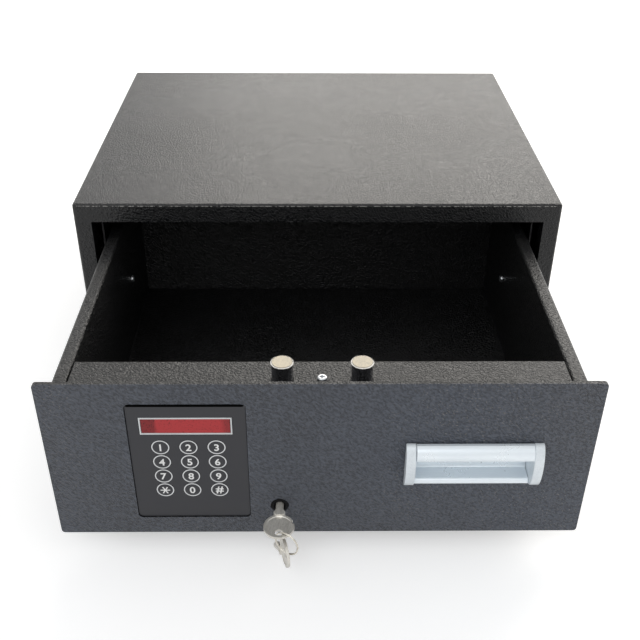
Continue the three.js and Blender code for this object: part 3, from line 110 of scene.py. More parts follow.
def object_place(tree):
    return add_node(tree, "ShaderNodeTexCoord").outputs["Object"]


def axis_of(tree, place, axis):
    return add_node(tree, "ShaderNodeSeparateXYZ", {0: place}).outputs[axis]


def new_group(name, inputs, outputs):
    group = bpy.data.node_groups.new(name, "ShaderNodeTree")
    for word, value in inputs.items():
        kind = "NodeSocketColor" if isinstance(value, tuple) else "NodeSocketFloat"
        group.interface.new_socket(word, in_out="INPUT", socket_type=kind).default_value = value
    for word in outputs:
        kind = "NodeSocketColor" if word == "Colour" else "NodeSocketFloat"
        group.interface.new_socket(word, in_out="OUTPUT", socket_type=kind)
    return group, group.nodes.new("NodeGroupInput").outputs, group.nodes.new("NodeGroupOutput").inputs


def powder_coat_group():
    group, given, result = new_group(
        "powder_coat", {"Colour": (0.03, 0.03, 0.03, 1), "Pit Colour": (0.01, 0.01, 0.01, 1), "Cells": 450.0,
                        "Grit": 1500.0, "Roughness": 0.45, "Patches": 0.1, "Flakes": 0.0},
        ("Colour", "Roughness", "Height"))
    place = object_place(group)
    slant = {"Vector": place, "Rotation": (0.5, 0.6, -0.5), "Scale": (2.3, 1.0, 1.0)}
    slanted = add_node(group, "ShaderNodeMapping", slant, vector_type="TEXTURE").outputs[0]
    cells = add_node(group, "ShaderNodeTexNoise", {"Vector": slanted, "Scale": given["Cells"], "Detail": 1.0,
                                                   "Roughness": 0.4, "Distortion": 0.5}).outputs["Fac"]
    skin = spread(group, cells, 0.34, 0.62)
    grit = noise(group, place, given["Grit"], 2.0)
    cloud = noise(group, place, 7.0, 3.0)
    patch = times(group, spread(group, cloud, 0.3, 0.7, -1, 1), given["Patches"])
    tone = sum_of(group, spread(group, skin, 0, 1, 0.2, 0.9), spread(group, grit, 0.3, 0.7, -0.15, 0.15),
                  patch)
    coat = blended(group, tone, given["Pit Colour"], given["Colour"])
    flakes = times(group, spread(group, noise(group, slanted, 1300.0, 1.0), 0.63, 0.70),
                   spread(group, noise(group, place, 14.0, 2.0), 0.42, 0.62))
    coat = blended(group, times(group, flakes, given["Flakes"]), coat, (0.36, 0.33, 0.28, 1))
    group.links.new(coat, result["Colour"])
    rough = sum_of(group, given["Roughness"], spread(group, grit, 0.3, 0.7, -0.06, 0.06), patch)
    group.links.new(rough, result["Roughness"])
    group.links.new(sum_of(group, skin, times(group, grit, 0.35)), result["Height"])
    return group


def surface_material(name, group, values, relief, metallic=0.0, specular=0.5):
    material = bpy.data.materials.new(name)
    material.use_nodes = True
    tree = material.node_tree
    surface = tree.nodes["Principled BSDF"]
    effect = add_node(tree, "ShaderNodeGroup", node_tree=group)
    for key, value in values.items():
        effect.inputs[key].default_value = value
    raised = add_node(tree, "ShaderNodeBump", {"Height": effect.outputs["Height"], "Strength": 1.0,
                                               "Distance": relief})
    tree.links.new(effect.outputs["Colour"], surface.inputs["Base Color"])
    tree.links.new(effect.outputs["Roughness"], surface.inputs["Roughness"])
    tree.links.new(raised.outputs["Normal"], surface.inputs["Normal"])
    surface.inputs["Metallic"].default_value = metallic
    surface.inputs["Specular IOR Level"].default_value = specular
    return material


def pick(piece):
    bpy.ops.object.select_all(action="DESELECT")
    piece.select_set(True)
    bpy.context.view_layer.objects.active = piece


def finish_edges(piece, edge, fold):
    pick(piece)
    bpy.ops.object.shade_smooth_by_angle(angle=math.radians(fold))
    if edge:
        bevel = piece.modifiers.new("edges", "BEVEL")
        bevel.width = edge
        bevel.segments = 2
        bevel.limit_method = "ANGLE"
        bevel.angle_limit = math.radians(fold)
        bpy.ops.object.modifier_apply(modifier=bevel.name)
        bpy.ops.object.shade_smooth()
        even = piece.modifiers.new("even", "WEIGHTED_NORMAL")
        bpy.ops.object.modifier_apply(modifier=even.name)


def finished_copy(node, body, material, edge=0.0, fold=35):
    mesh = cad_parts[node].data.copy()
    piece = bpy.data.objects.new(f"{node}_finished", mesh)
    bpy.context.scene.collection.objects.link(piece)
    mesh.materials.clear()
    mesh.materials.append(material)
    pick(piece)
    bpy.ops.object.mode_set(mode="EDIT")
    bpy.ops.mesh.select_all(action="SELECT")
    bpy.ops.mesh.remove_doubles(threshold=0.000005)
    bpy.ops.mesh.dissolve_limited(angle_limit=math.radians(1))
    bpy.ops.object.mode_set(mode="OBJECT")
    finish_edges(piece, edge, fold)
    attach(piece, body)
    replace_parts(piece, node)
    return piece


cabinet_low, cabinet_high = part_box("cabinet_shell")
glint_band_top = 0.0010
glint_band_bottom = 0.0021
glint_band_fade = 0.0003
glint_pale = (0.85, 0.83, 0.78, 1)
powder_coat = powder_coat_group()
cabinet_paint = surface_material(
    "cabinet_paint", powder_coat,
    {"Colour": (0.0030, 0.0033, 0.0042, 1), "Pit Colour": (0.0010, 0.0010, 0.0012, 1), "Cells": 940.0,
     "Roughness": 0.30, "Patches": 0.07, "Flakes": 0.01}, relief=0.0003, specular=0.41)
tree = cabinet_paint.node_tree
surface = tree.nodes["Principled BSDF"]
place = object_place(tree)
# Painted highlight: pale glint dots in a band 1.0 to 2.1 mm below the top, on the front face.
near_front = spread(tree, axis_of(tree, place, 1), cabinet_low.y + 0.0003, cabinet_low.y + 0.0001)
below_top = sum_of(tree, times(tree, axis_of(tree, place, 2), -1.0), cabinet_high.z)
near_top = times(tree, spread(tree, below_top, glint_band_top, glint_band_top + glint_band_fade),
                 spread(tree, below_top, glint_band_bottom, glint_band_bottom - glint_band_fade))
glint_dots = spread(tree, noise(tree, place, 620.0, 2.0), 0.48, 0.54)
painted_glints = times(tree, times(tree, near_front, near_top), glint_dots)
coat = surface.inputs["Base Color"].links[0].from_socket
tree.links.new(blended(tree, painted_glints, coat, glint_pale), surface.inputs["Base Color"])
finished_copy("cabinet_shell", "cabinet", cabinet_paint, 0.0003)
finished_copy("cabinet_back", "cabinet", cabinet_paint, 0.0003)
for side in ("left", "right"):
    finished_copy(f"spacer_{side}", "cabinet", cabinet_paint, 0.0002)


# Telescopic slides
# Bright zinc-plated roll-formed steel: an outer, a middle and an inner member on each side, which run on
# steel balls held in drawn strips. The plating is drawn lengthways and clouded by oil.
def drawn_metal_group():
    group, given, result = new_group(
        "drawn_metal", {"Colour": (0.6, 0.6, 0.6, 1), "Dull Colour": (0.4, 0.4, 0.4, 1), "Along": 30.0,
                        "Across": 1800.0, "Roughness": 0.3, "Specks": 0.3}, ("Colour", "Roughness", "Height"))
    place = object_place(group)
    scale = add_node(group, "ShaderNodeCombineXYZ", {"X": given["Across"], "Y": given["Along"],
                                                     "Z": given["Across"]})
    stretched = add_node(group, "ShaderNodeVectorMath", {0: place, 1: scale.outputs[0]}, operation="MULTIPLY")
    lines = noise(group, stretched.outputs[0], 1.0, 3.0)
    stains = noise(group, place, 45.0, 4.0, 0.6)
    specks = times(group, spread(group, noise(group, place, 900.0, 1.0), 0.62, 0.72), given["Specks"])
    tone = sum_of(group, spread(group, lines, 0.3, 0.7, 0, 0.5), spread(group, stains, 0.3, 0.7, 0, 0.5),
                  specks)
    group.links.new(blended(group, tone, given["Colour"], given["Dull Colour"]), result["Colour"])
    rough = sum_of(group, given["Roughness"], spread(group, stains, 0.3, 0.7, -0.08, 0.12), specks)
    group.links.new(rough, result["Roughness"])
    group.links.new(sum_of(group, lines, times(group, specks, -1.5)), result["Height"])
    return group


drawn_metal = drawn_metal_group()
zinc_plate = surface_material(
    "zinc_plate", drawn_metal,
    {"Colour": (0.62, 0.64, 0.66, 1), "Dull Colour": (0.36, 0.37, 0.38, 1), "Roughness": 0.32},
    relief=0.00002, metallic=1.0)
brass_strip = surface_material(
    "brass_strip", drawn_metal,
    {"Colour": (0.68, 0.5, 0.22, 1), "Dull Colour": (0.4, 0.27, 0.11, 1), "Along": 60.0, "Roughness": 0.3},
    relief=0.00002, metallic=1.0)
ball_steel = surface_material(
    "ball_steel", drawn_metal,
    {"Colour": (0.72, 0.73, 0.75, 1), "Dull Colour": (0.55, 0.56, 0.58, 1), "Along": 500.0, "Across": 500.0,
     "Roughness": 0.12}, relief=0.000005, metallic=1.0)


def paint(material, *names):
    for name in names:
        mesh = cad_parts[name].data
        mesh.materials.clear()
        mesh.materials.append(material)


for side in ("left", "right"):
    finished_copy(f"slide_outer_{side}", "cabinet", zinc_plate)
    finished_copy(f"slide_middle_{side}", "middle_slides", zinc_plate)
    finished_copy(f"slide_inner_{side}", "drawer", zinc_plate)
    paint(brass_strip, f"cage_outer_{side}", f"cage_inner_{side}")

ball_diameter = 0.0032
ball_pitch = 0.022
ball_count = 4
cage_end = 0.0048
outer_row_x = 0.17376
outer_row_z = 0.0194
inner_row_x = 0.17208
inner_row_z = 0.0144


def ball_rows(cage, body, row_x, row_z):
    low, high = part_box(cage)
    middle_z = (low.z + high.z) / 2
    bpy.ops.object.select_all(action="DESELECT")
    balls = []
    for i in range(ball_count):
        for up in (-1, 1):
            place = (row_x, low.y + cage_end + i * ball_pitch, middle_z + up * row_z)
            bpy.ops.mesh.primitive_uv_sphere_add(segments=20, ring_count=10, radius=ball_diameter / 2,
                                                 location=place)
            balls.append(bpy.context.object)
    for ball in balls:
        ball.select_set(True)
    bpy.context.view_layer.objects.active = balls[0]
    bpy.ops.object.join()
    piece = bpy.context.object
    piece.name = f"{cage}_balls"
    bpy.ops.object.transform_apply(location=True, rotation=True, scale=True)
    bpy.ops.object.shade_smooth()
    piece.data.materials.append(ball_steel)
    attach(piece, body)


for side, word in ((-1, "left"), (1, "right")):
    ball_rows(f"cage_outer_{word}", "outer_cages", side * outer_row_x, outer_row_z)
    ball_rows(f"cage_inner_{word}", "inner_cages", side * inner_row_x, inner_row_z)

# Drawer tray and lock cover
# One sheet is folded into the floor, the sides and their rims, with a rear wall welded in, and the cover
# screws across the front of it. All carry a black coat like the cabinet's, in larger cells.
tray_paint = surface_material(
    "tray_paint", powder_coat,
    {"Colour": (0.0028, 0.0028, 0.0031, 1), "Pit Colour": (0.0008, 0.0008, 0.0009, 1), "Cells": 780.0,
     "Roughness": 0.35, "Patches": 0.06, "Flakes": 0.005}, relief=0.0005)
for node in ("drawer_tray", "tray_back", "lock_housing", "battery_cover"):
    finished_copy(node, "drawer", tray_paint, 0.0002)

# Drawer front
# A thick steel plate, cut for the keypad, the handle and the lock, coated in slanting cells: near black on
# its edges, and lighter and bluish on its face, partly as painted reflection. A nut behind it holds the lock.
plate_low, plate_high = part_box("front_plate")
edge_black = (0.004, 0.004, 0.004, 1)
plate_paint = surface_material(
    "plate_paint", powder_coat,
    {"Colour": (0.070, 0.080, 0.102, 1), "Pit Colour": (0.012, 0.014, 0.021, 1), "Cells": 760.0,
     "Roughness": 0.36, "Patches": 0.2, "Flakes": 0.35}, relief=0.0006)
tree = plate_paint.node_tree
surface = tree.nodes["Principled BSDF"]
depth = axis_of(tree, object_place(tree), 1)
# The face takes the lighter bluish coat, partly painted reflection of the floor; the edges take near black.
reflecting_face_mask = spread(tree, depth, plate_low.y + 0.0005, plate_low.y + 0.0001)
coat = surface.inputs["Base Color"].links[0].from_socket
tree.links.new(blended(tree, reflecting_face_mask, edge_black, coat), surface.inputs["Base Color"])
finished_copy("front_plate", "drawer", plate_paint, 0.0004)

nut_across_flats = 0.016
nut_thickness = 0.004
nut_hole_diameter = 0.0125
nut_gap = 0.0003


def middle_of(node):
    low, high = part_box(node)
    return (low + high) / 2


lock_middle = middle_of("lock_cylinder")
nut_y = plate_high.y + nut_gap + nut_thickness / 2
bpy.ops.object.select_all(action="DESELECT")
bpy.ops.mesh.primitive_cylinder_add(vertices=6, radius=nut_across_flats / math.sqrt(3), depth=nut_thickness,
                                    location=(lock_middle.x, nut_y, lock_middle.z),
                                    rotation=(math.pi / 2, 0, 0))
lock_nut = bpy.context.object
lock_nut.name = "lock_nut"
bpy.ops.mesh.primitive_cylinder_add(vertices=40, radius=nut_hole_diameter / 2, depth=nut_thickness * 3,
                                    location=lock_nut.location, rotation=(math.pi / 2, 0, 0))
drill = bpy.context.object
bored = lock_nut.modifiers.new("bored", "BOOLEAN")
bored.object = drill
pick(lock_nut)
bpy.ops.object.modifier_apply(modifier=bored.name)
bpy.data.objects.remove(drill)
bpy.ops.object.transform_apply(location=True, rotation=True, scale=True)
finish_edges(lock_nut, 0.0004, 35)
lock_nut.data.materials.append(zinc_plate)
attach(lock_nut, "drawer")

# Screws
# Zinc-plated pan heads with a cross recess: two on each side hold the tray to its slides, and one holds the
# cover down. One is modelled with its seat at the origin and its head up, and the rest are copies.
screw_head_diameter = 0.0068
screw_head_height = 0.0021
screw_shank_diameter = 0.0038
screw_length = 0.006
cross_width = 0.0012
cross_length = 0.0036
cross_depth = 0.0013
screw_head_round = 0.0012
bpy.ops.object.select_all(action="DESELECT")
bpy.ops.mesh.primitive_cylinder_add(vertices=36, radius=screw_head_diameter / 2, depth=screw_head_height,
                                    location=(0, 0, screw_head_height / 2))
screw = bpy.context.object
screw.name = "pan_screw"
bpy.ops.object.transform_apply(location=True, rotation=True, scale=True)
bpy.ops.object.mode_set(mode="EDIT")
bpy.ops.mesh.select_mode(type="FACE")
bpy.ops.mesh.select_all(action="DESELECT")
bpy.ops.object.mode_set(mode="OBJECT")
for face in screw.data.polygons:
    face.select = face.normal.z < -0.9
bpy.ops.object.mode_set(mode="EDIT")
bpy.ops.mesh.inset(thickness=(screw_head_diameter - screw_shank_diameter) / 2)
bpy.ops.mesh.extrude_region_move(TRANSFORM_OT_translate={"value": (0, 0, -screw_length)})
bpy.ops.mesh.select_all(action="DESELECT")
bpy.ops.object.mode_set(mode="OBJECT")
for face in screw.data.polygons:
    face.select = face.normal.z > 0.9 and face.center.z > screw_head_height * 0.9
bpy.ops.object.mode_set(mode="EDIT")
bpy.ops.mesh.bevel(offset=screw_head_round, segments=5, affect="EDGES")
bpy.ops.object.mode_set(mode="OBJECT")
for turned in (0, math.pi / 2):
    bpy.ops.object.select_all(action="DESELECT")
    bpy.ops.mesh.primitive_cube_add(size=1, location=(0, 0, screw_head_height), rotation=(0, 0, turned),
                                    scale=(cross_length, cross_width, cross_depth * 2))
    slot_cutter = bpy.context.object
    crossed = screw.modifiers.new("crossed", "BOOLEAN")
    crossed.object = slot_cutter
    pick(screw)
    bpy.ops.object.modifier_apply(modifier=crossed.name)
    bpy.data.objects.remove(slot_cutter)
finish_edges(screw, 0, 40)
screw.data.materials.append(zinc_plate)

seat_gap = 0.0003
tray_seat_x = 0.1649 + seat_gap
cover_seat = middle_of("housing_screw")
cover_seat.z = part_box("lock_housing")[1].z + seat_gap
screw_places = {"housing_screw": Matrix.Translation(cover_seat)}
for side, word in ((-1, "left"), (1, "right")):
    for end in ("front", "rear"):
        node = f"tray_screw_{end}_{word}"
        seat = middle_of(node)
        seat.x = side * tray_seat_x
        screw_places[node] = Matrix.Translation(seat) @ Matrix.Rotation(math.radians(-side * 90), 4, "Y")


def placed_copy(model, name, place, body):
    piece = bpy.data.objects.new(name, model.data.copy())
    piece.data.transform(place)
    bpy.context.scene.collection.objects.link(piece)
    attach(piece, body)
    return piece


for node, place in screw_places.items():
    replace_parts(placed_copy(screw, f"{node}_finished", place, "drawer"), node)
bpy.data.objects.remove(screw)


# Battery holder and cells
# A black moulded tray behind the cover holds four round cells in printed plastic sleeves, with bare steel
# at both ends; here each cell is given the sleeve finish all over, without print or ends.
def moulded_group():
    group, given, result = new_group(
        "moulded_plastic", {"Colour": (0.05, 0.05, 0.05, 1), "Mottle": 0.15, "Grain": 2600.0,
                            "Roughness": 0.5}, ("Colour", "Roughness", "Height"))
    place = object_place(group)
    grain = noise(group, place, given["Grain"], 2.0)
    handled = noise(group, place, 60.0, 4.0, 0.6)
    dark = blended(group, given["Mottle"], given["Colour"], (0, 0, 0, 1))
    mix = spread(group, sum_of(group, grain, handled), 0.8, 1.2)
    group.links.new(blended(group, mix, dark, given["Colour"]), result["Colour"])
    rough = sum_of(group, given["Roughness"], spread(group, handled, 0.3, 0.7, -0.08, 0.08))
    group.links.new(rough, result["Roughness"])
    group.links.new(grain, result["Height"])
    return group


moulded = moulded_group()
black_moulding = surface_material(
    "black_moulding", moulded, {"Colour": (0.02, 0.02, 0.021, 1), "Roughness": 0.5}, relief=0.00003)
cell_sleeve = surface_material(
    "cell_sleeve", moulded, {"Colour": (0.03, 0.045, 0.09, 1), "Roughness": 0.3, "Mottle": 0.3},
    relief=0.00001)
finished_copy("battery_holder", "drawer", black_moulding, 0.0003)
for number in range(1, 5):
    finished_copy(f"battery_{number}", "drawer", cell_sleeve, 0.0004)

# Bolt works
# Bar, guide, cam and geared motor are zinc-plated steel, and the pinion is brass. They sit under the cover.
for node, body in (("bolt_bar", "bolts"), ("bolt_guide", "drawer"), ("motor", "drawer"), ("lock_cam", "key")):
    finished_copy(node, body, zinc_plate, 0.0002)
finished_copy("drive_pinion", "pinion", brass_strip)

# Lifting bolts
# Turned steel pins, bright on top, with painted shade darkening the barrel and a pale band of painted
# highlight round the top chamfer. They are riveted to the bar below and stand up through the cover.
bolt_diameter = 0.0141
bolt_chamfer = 0.00045
bolt_top_z = 0.1525
bolt_shoulder_z = 0.0825
bolt_foot_z = 0.0794
bolt_y = -0.3567
spigot_diameter = 0.008
barrel_shade_from_top = 0.0008
barrel_painted_shade = (0.13, 0.13, 0.14, 1)
chamfer_painted_highlight = (0.92, 0.90, 0.86, 1)
bolt_steel = surface_material(
    "bolt_steel", drawn_metal,
    {"Colour": (0.56, 0.49, 0.36, 1), "Dull Colour": (0.34, 0.31, 0.25, 1), "Along": 900.0, "Across": 900.0,
     "Roughness": 0.45}, relief=0.00002, metallic=0.15)
tree = bolt_steel.node_tree
surface = tree.nodes["Principled BSDF"]
height = axis_of(tree, object_place(tree), 2)
# Painted shade: the barrel is dark from 0.8 mm below the top down. Painted highlight: the chamfer band is
# pale.
above_barrel_shade = spread(tree, height, bolt_top_z - barrel_shade_from_top, bolt_top_z - barrel_shade_from_top + 0.0002)
on_top = spread(tree, height, bolt_top_z - 0.0002, bolt_top_z - 0.0001)
top_with_highlight = blended(tree, on_top, chamfer_painted_highlight, surface.inputs["Base Color"].links[0].from_socket)
tree.links.new(blended(tree, above_barrel_shade, barrel_painted_shade, top_with_highlight), surface.inputs["Base Color"])
tree.links.new(spread(tree, above_barrel_shade, 0, 1, 0.11, 0.44), surface.inputs["Roughness"])
tree.links.new(spread(tree, above_barrel_shade, 0, 1, 1.0, 0.15), surface.inputs["Metallic"])
for word, bolt_x in (("left", -0.025), ("right", 0.027)):
    bpy.ops.object.select_all(action="DESELECT")
    bpy.ops.mesh.primitive_cylinder_add(vertices=64, radius=bolt_diameter / 2,
                                        depth=bolt_top_z - bolt_shoulder_z,
                                        location=(bolt_x, bolt_y, (bolt_top_z + bolt_shoulder_z) / 2))
    bolt = bpy.context.object
    bolt.name = f"bolt_{word}_turned"
    bpy.ops.object.transform_apply(location=True, rotation=True, scale=True)
    for face in bolt.data.polygons:
        face.select = face.normal.z > 0.9
    bpy.ops.object.mode_set(mode="EDIT")
    bpy.ops.mesh.select_mode(type="FACE")
    bpy.ops.mesh.bevel(offset=bolt_chamfer, segments=1, affect="EDGES")
    bpy.ops.mesh.select_all(action="DESELECT")
    bpy.ops.object.mode_set(mode="OBJECT")
    for face in bolt.data.polygons:
        face.select = face.normal.z < -0.9
    bpy.ops.object.mode_set(mode="EDIT")
    bpy.ops.mesh.inset(thickness=(bolt_diameter - spigot_diameter) / 2)
    bpy.ops.mesh.extrude_region_move(TRANSFORM_OT_translate={"value": (0, 0, bolt_foot_z - bolt_shoulder_z)})
    bpy.ops.object.mode_set(mode="OBJECT")
    finish_edges(bolt, 0.00012, 30)
    bolt.data.materials.append(bolt_steel)
    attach(bolt, "bolts")
    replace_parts(bolt, f"bolt_{word}")

# Keypad panel, display and board
# A charcoal moulded panel holds a red display window in a thin pale frame, and a black strip along its top
# edge is painted shadow. The green lacquered board is screwed on behind.
keypad_face_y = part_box("keypad_frame")[0].y
window_low, window_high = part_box("display_window")
shadow_strip_width = 0.0752
shadow_strip_height = 0.0014
shadow_strip_thickness = 0.0003
shadow_strip_top_z = 0.1340
left_block_width = 0.00925
left_block_fade = 0.001
right_block_width = 0.00435
right_block_fade = 0.0019
keypad_plastic = surface_material(
    "keypad_plastic", moulded, {"Colour": (0.0165, 0.017, 0.022, 1), "Roughness": 0.42, "Mottle": 0.2},
    relief=0.00002)
# Near-black, almost unreflecting material for the painted shadow strip and the painted shade halos.
painted_shade_black = surface_material(
    "painted_shade_black", moulded, {"Colour": (0.003, 0.003, 0.003, 1), "Roughness": 0.9}, relief=0.00001,
    specular=0.05)
display_frame = surface_material(
    "display_frame", moulded, {"Colour": (0.72, 0.74, 0.75, 1), "Roughness": 0.4}, relief=0.00001)
display_red = surface_material(
    "display_red", moulded, {"Colour": (0.46, 0.048, 0.052, 1), "Roughness": 0.4, "Mottle": 0.06,
                             "Grain": 900.0}, relief=0.000005, specular=0.2)
tree = display_red.node_tree
surface = tree.nodes["Principled BSDF"]
place = object_place(tree)
across_x = axis_of(tree, place, 0)
left_end = window_low.x + left_block_width
right_end = window_high.x - right_block_width
left_block = spread(tree, across_x, left_end - left_block_fade, left_end + left_block_fade, 1, 0)
right_block = spread(tree, across_x, right_end - right_block_fade, right_end + right_block_fade, 0, 0.7)
dots = times(tree, spread(tree, noise(tree, place, 1100.0, 1.0), 0.62, 0.67), 0.8)
shade = sum_of(tree, left_block, right_block, dots)
red = surface.inputs["Base Color"].links[0].from_socket
tree.links.new(blended(tree, times(tree, shade, 0.55), red, (0.055, 0.012, 0.014, 1)),
               surface.inputs["Base Color"])
board_lacquer = surface_material(
    "board_lacquer", moulded, {"Colour": (0.02, 0.11, 0.05, 1), "Roughness": 0.35}, relief=0.00002)
finished_copy("keypad_frame", "drawer", keypad_plastic, 0.0003)
finished_copy("display_bezel", "drawer", display_frame, 0.0002)
finished_copy("display_window", "drawer", display_red, 0.0001)
paint(board_lacquer, "circuit_board")
# Painted shadow: a thin black strip along the panel's top edge.
bpy.ops.object.select_all(action="DESELECT")
bpy.ops.mesh.primitive_cube_add(size=1, scale=(shadow_strip_width, shadow_strip_thickness, shadow_strip_height),
                                location=(middle_of("keypad_frame").x, keypad_face_y - shadow_strip_thickness / 2,
                                          shadow_strip_top_z - shadow_strip_height / 2))
shadow_strip = bpy.context.object
shadow_strip.name = "keypad_shadow_strip"
bpy.ops.object.transform_apply(location=True, rotation=True, scale=True)
for edge in shadow_strip.data.edges:
    start, end = (shadow_strip.data.vertices[i].co for i in edge.vertices)
    edge.select = abs(start.y - end.y) > shadow_strip_thickness / 2 and start.z > shadow_strip_top_z - shadow_strip_height / 2
bpy.ops.object.mode_set(mode="EDIT")
bpy.ops.mesh.select_mode(type="EDGE")
bpy.ops.mesh.bevel(offset=shadow_strip_height * 0.8, segments=4, affect="EDGES")
bpy.ops.mesh.select_mode(type="FACE")
bpy.ops.object.mode_set(mode="OBJECT")
finish_edges(shadow_strip, 0.00005, 40)
shadow_strip.data.materials.append(painted_shade_black)
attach(shadow_strip, "drawer")

# Keys
# Round charcoal caps, slightly crowned, each with a white numeral or sign, and on the panel round it a pale
# ring edged by a black halo of painted shade. Cap, ring and halo are modelled once at the origin and copied
# to twelve places.
key_radius = 0.0055
key_flange = 0.0006
key_shoulder_y = -0.3754
key_back_y = -0.3742
key_crown = 0.00035
key_flat_radius = 0.00385
ring_inner = 0.00515
ring_outer = 0.00595
shadow_halo_scale = 1.05
shadow_halo_thinning = 0.4
ring_thickness = 0.00012
print_white = surface_material(
    "print_white", moulded, {"Colour": (0.86, 0.86, 0.85, 1), "Roughness": 0.5, "Mottle": 0.06},
    relief=0.000005)
ring_grey = surface_material(
    "ring_grey", moulded, {"Colour": (0.76, 0.77, 0.78, 1), "Roughness": 0.45, "Mottle": 0.1},
    relief=0.000005)
bpy.ops.object.select_all(action="DESELECT")
bpy.ops.mesh.primitive_cylinder_add(vertices=48, radius=key_radius + key_flange,
                                    depth=key_back_y - key_shoulder_y, rotation=(math.pi / 2, 0, 0),
                                    location=(0, (key_back_y + key_shoulder_y) / 2, 0))
key_cap = bpy.context.object
bpy.ops.object.transform_apply(location=True, rotation=True, scale=True)
for face in key_cap.data.polygons:
    face.select = face.normal.y < -0.9
bpy.ops.object.mode_set(mode="EDIT")
bpy.ops.mesh.select_mode(type="FACE")
bpy.ops.mesh.inset(thickness=key_flange)
rise = key_shoulder_y - keypad_face_y - key_crown
bpy.ops.mesh.extrude_region_move(TRANSFORM_OT_translate={"value": (0, -rise, 0)})
bpy.ops.mesh.inset(thickness=key_crown)
bpy.ops.transform.translate(value=(0, -key_crown, 0))
bpy.ops.mesh.inset(thickness=key_radius - key_crown - key_flat_radius)
bpy.ops.transform.translate(value=(0, -key_crown, 0))
bpy.ops.object.mode_set(mode="OBJECT")
finish_edges(key_cap, 0.0001, 12)
key_cap.data.materials.append(keypad_plastic)

bpy.ops.object.select_all(action="DESELECT")
bpy.ops.mesh.primitive_cylinder_add(vertices=64, radius=ring_outer, depth=ring_thickness,
                                    location=(0, keypad_face_y - ring_thickness / 2, 0),
                                    rotation=(math.pi / 2, 0, 0))
key_ring_piece = bpy.context.object
bpy.ops.object.transform_apply(location=True, rotation=True, scale=True)
for face in key_ring_piece.data.polygons:
    face.select = abs(face.normal.y) > 0.9
bpy.ops.object.mode_set(mode="EDIT")
bpy.ops.mesh.select_mode(type="FACE")
bpy.ops.mesh.inset(thickness=ring_outer - ring_inner)
bpy.ops.mesh.bridge_edge_loops()
bpy.ops.object.mode_set(mode="OBJECT")
finish_edges(key_ring_piece, 0.00004, 40)
# Painted shade: a black halo a little wider than each pale ring.
shadow_halo_piece = bpy.data.objects.new("shadow_halo_piece", key_ring_piece.data.copy())
shadow_halo_piece.data.transform(Matrix.Translation((0, keypad_face_y, 0))
                            @ Matrix.Diagonal((shadow_halo_scale, shadow_halo_thinning, shadow_halo_scale, 1))
                            @ Matrix.Translation((0, -keypad_face_y, 0)))
shadow_halo_piece.data.materials.append(painted_shade_black)
key_ring_piece.data.materials.append(ring_grey)

digit_scale = 0.0078
digit_height = 0.0058
digit_growth = 0.00016
sign_words = {"star": "*", "hash": "#"}
sign_heights = {"star": 0.0061, "hash": 0.0064}
star_width = 0.0068
stroke_width = 0.0009
print_thickness = 0.0001
print_y = keypad_face_y - key_crown - 0.00002
for name in ("1", "2", "3", "4", "5", "6", "7", "8", "9", "star", "0", "hash"):
    key_middle = middle_of(f"key_{name}")
    place = Matrix.Translation((key_middle.x, 0, key_middle.z))
    cap = placed_copy(key_cap, f"key_{name}_cap", place, f"button_{name}")
    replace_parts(cap, f"key_{name}")
    placed_copy(key_ring_piece, f"key_{name}_ring", place, "drawer")
    placed_copy(shadow_halo_piece, f"key_{name}_shadow_halo", place, "drawer")
    bpy.ops.object.select_all(action="DESELECT")
    if name == "star":
        bars = []
        for turned in (0, 60, 120):
            bpy.ops.mesh.primitive_cube_add(size=1, scale=(star_width, print_thickness, stroke_width),
                                            rotation=(0, math.radians(turned), 0))
            bars.append(bpy.context.object)
        printed = bars[0]
        for bar in bars[1:]:
            merged = printed.modifiers.new("merged", "BOOLEAN")
            merged.operation = "UNION"
            merged.object = bar
            pick(printed)
            bpy.ops.object.modifier_apply(modifier=merged.name)
            bpy.data.objects.remove(bar)
        pick(printed)
    else:
        bpy.ops.object.text_add(rotation=(math.pi / 2, 0, 0))
        printed = bpy.context.object
        printed.data.body = sign_words.get(name, name)
        printed.data.size = digit_scale
        printed.data.offset = digit_growth
        printed.data.extrude = print_thickness / 2
        printed.data.resolution_u = 5
        bpy.ops.object.convert(target="MESH")
    printed.name = f"key_{name}_print"
    bpy.ops.object.transform_apply(location=True, rotation=True, scale=True)
    mesh = printed.data
    xs = [vertex.co.x for vertex in mesh.vertices]
    zs = [vertex.co.z for vertex in mesh.vertices]
    middle = Vector(((min(xs) + max(xs)) / 2, 0, (min(zs) + max(zs)) / 2))
    size = sign_heights.get(name, digit_height) / (max(zs) - min(zs))
    mesh.transform(Matrix.Translation((key_middle.x, print_y, key_middle.z))
                   @ Matrix.Diagonal((size, 1, size, 1)) @ Matrix.Translation(-middle))
    mesh.materials.append(print_white)
    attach(printed, f"button_{name}")
for model in (key_cap, key_ring_piece, shadow_halo_piece):
    bpy.data.objects.remove(model)

# Pull handle
# A satin strip with a rolled rim makes the hood and the recess, closed at both ends by cast caps.
silver_skin = surface_material(
    "silver_skin", drawn_metal,
    {"Colour": (0.84, 0.90, 0.94, 1), "Dull Colour": (0.78, 0.84, 0.89, 1), "Along": 900.0, "Across": 60.0,
     "Roughness": 0.3, "Specks": 0.02}, relief=0.000002, metallic=0.4)
cap_silver = surface_material(
    "cap_silver", drawn_metal,
    {"Colour": (0.80, 0.85, 0.88, 1), "Dull Colour": (0.66, 0.71, 0.75, 1), "Along": 1200.0, "Across": 1200.0,
     "Roughness": 0.4}, relief=0.00002, metallic=0.3)
finished_copy("handle_body", "drawer", silver_skin, 0.0, 30)
for side in ("left", "right"):
    finished_copy(f"handle_cap_{side}", "drawer", cap_silver, 0.0005, 30)

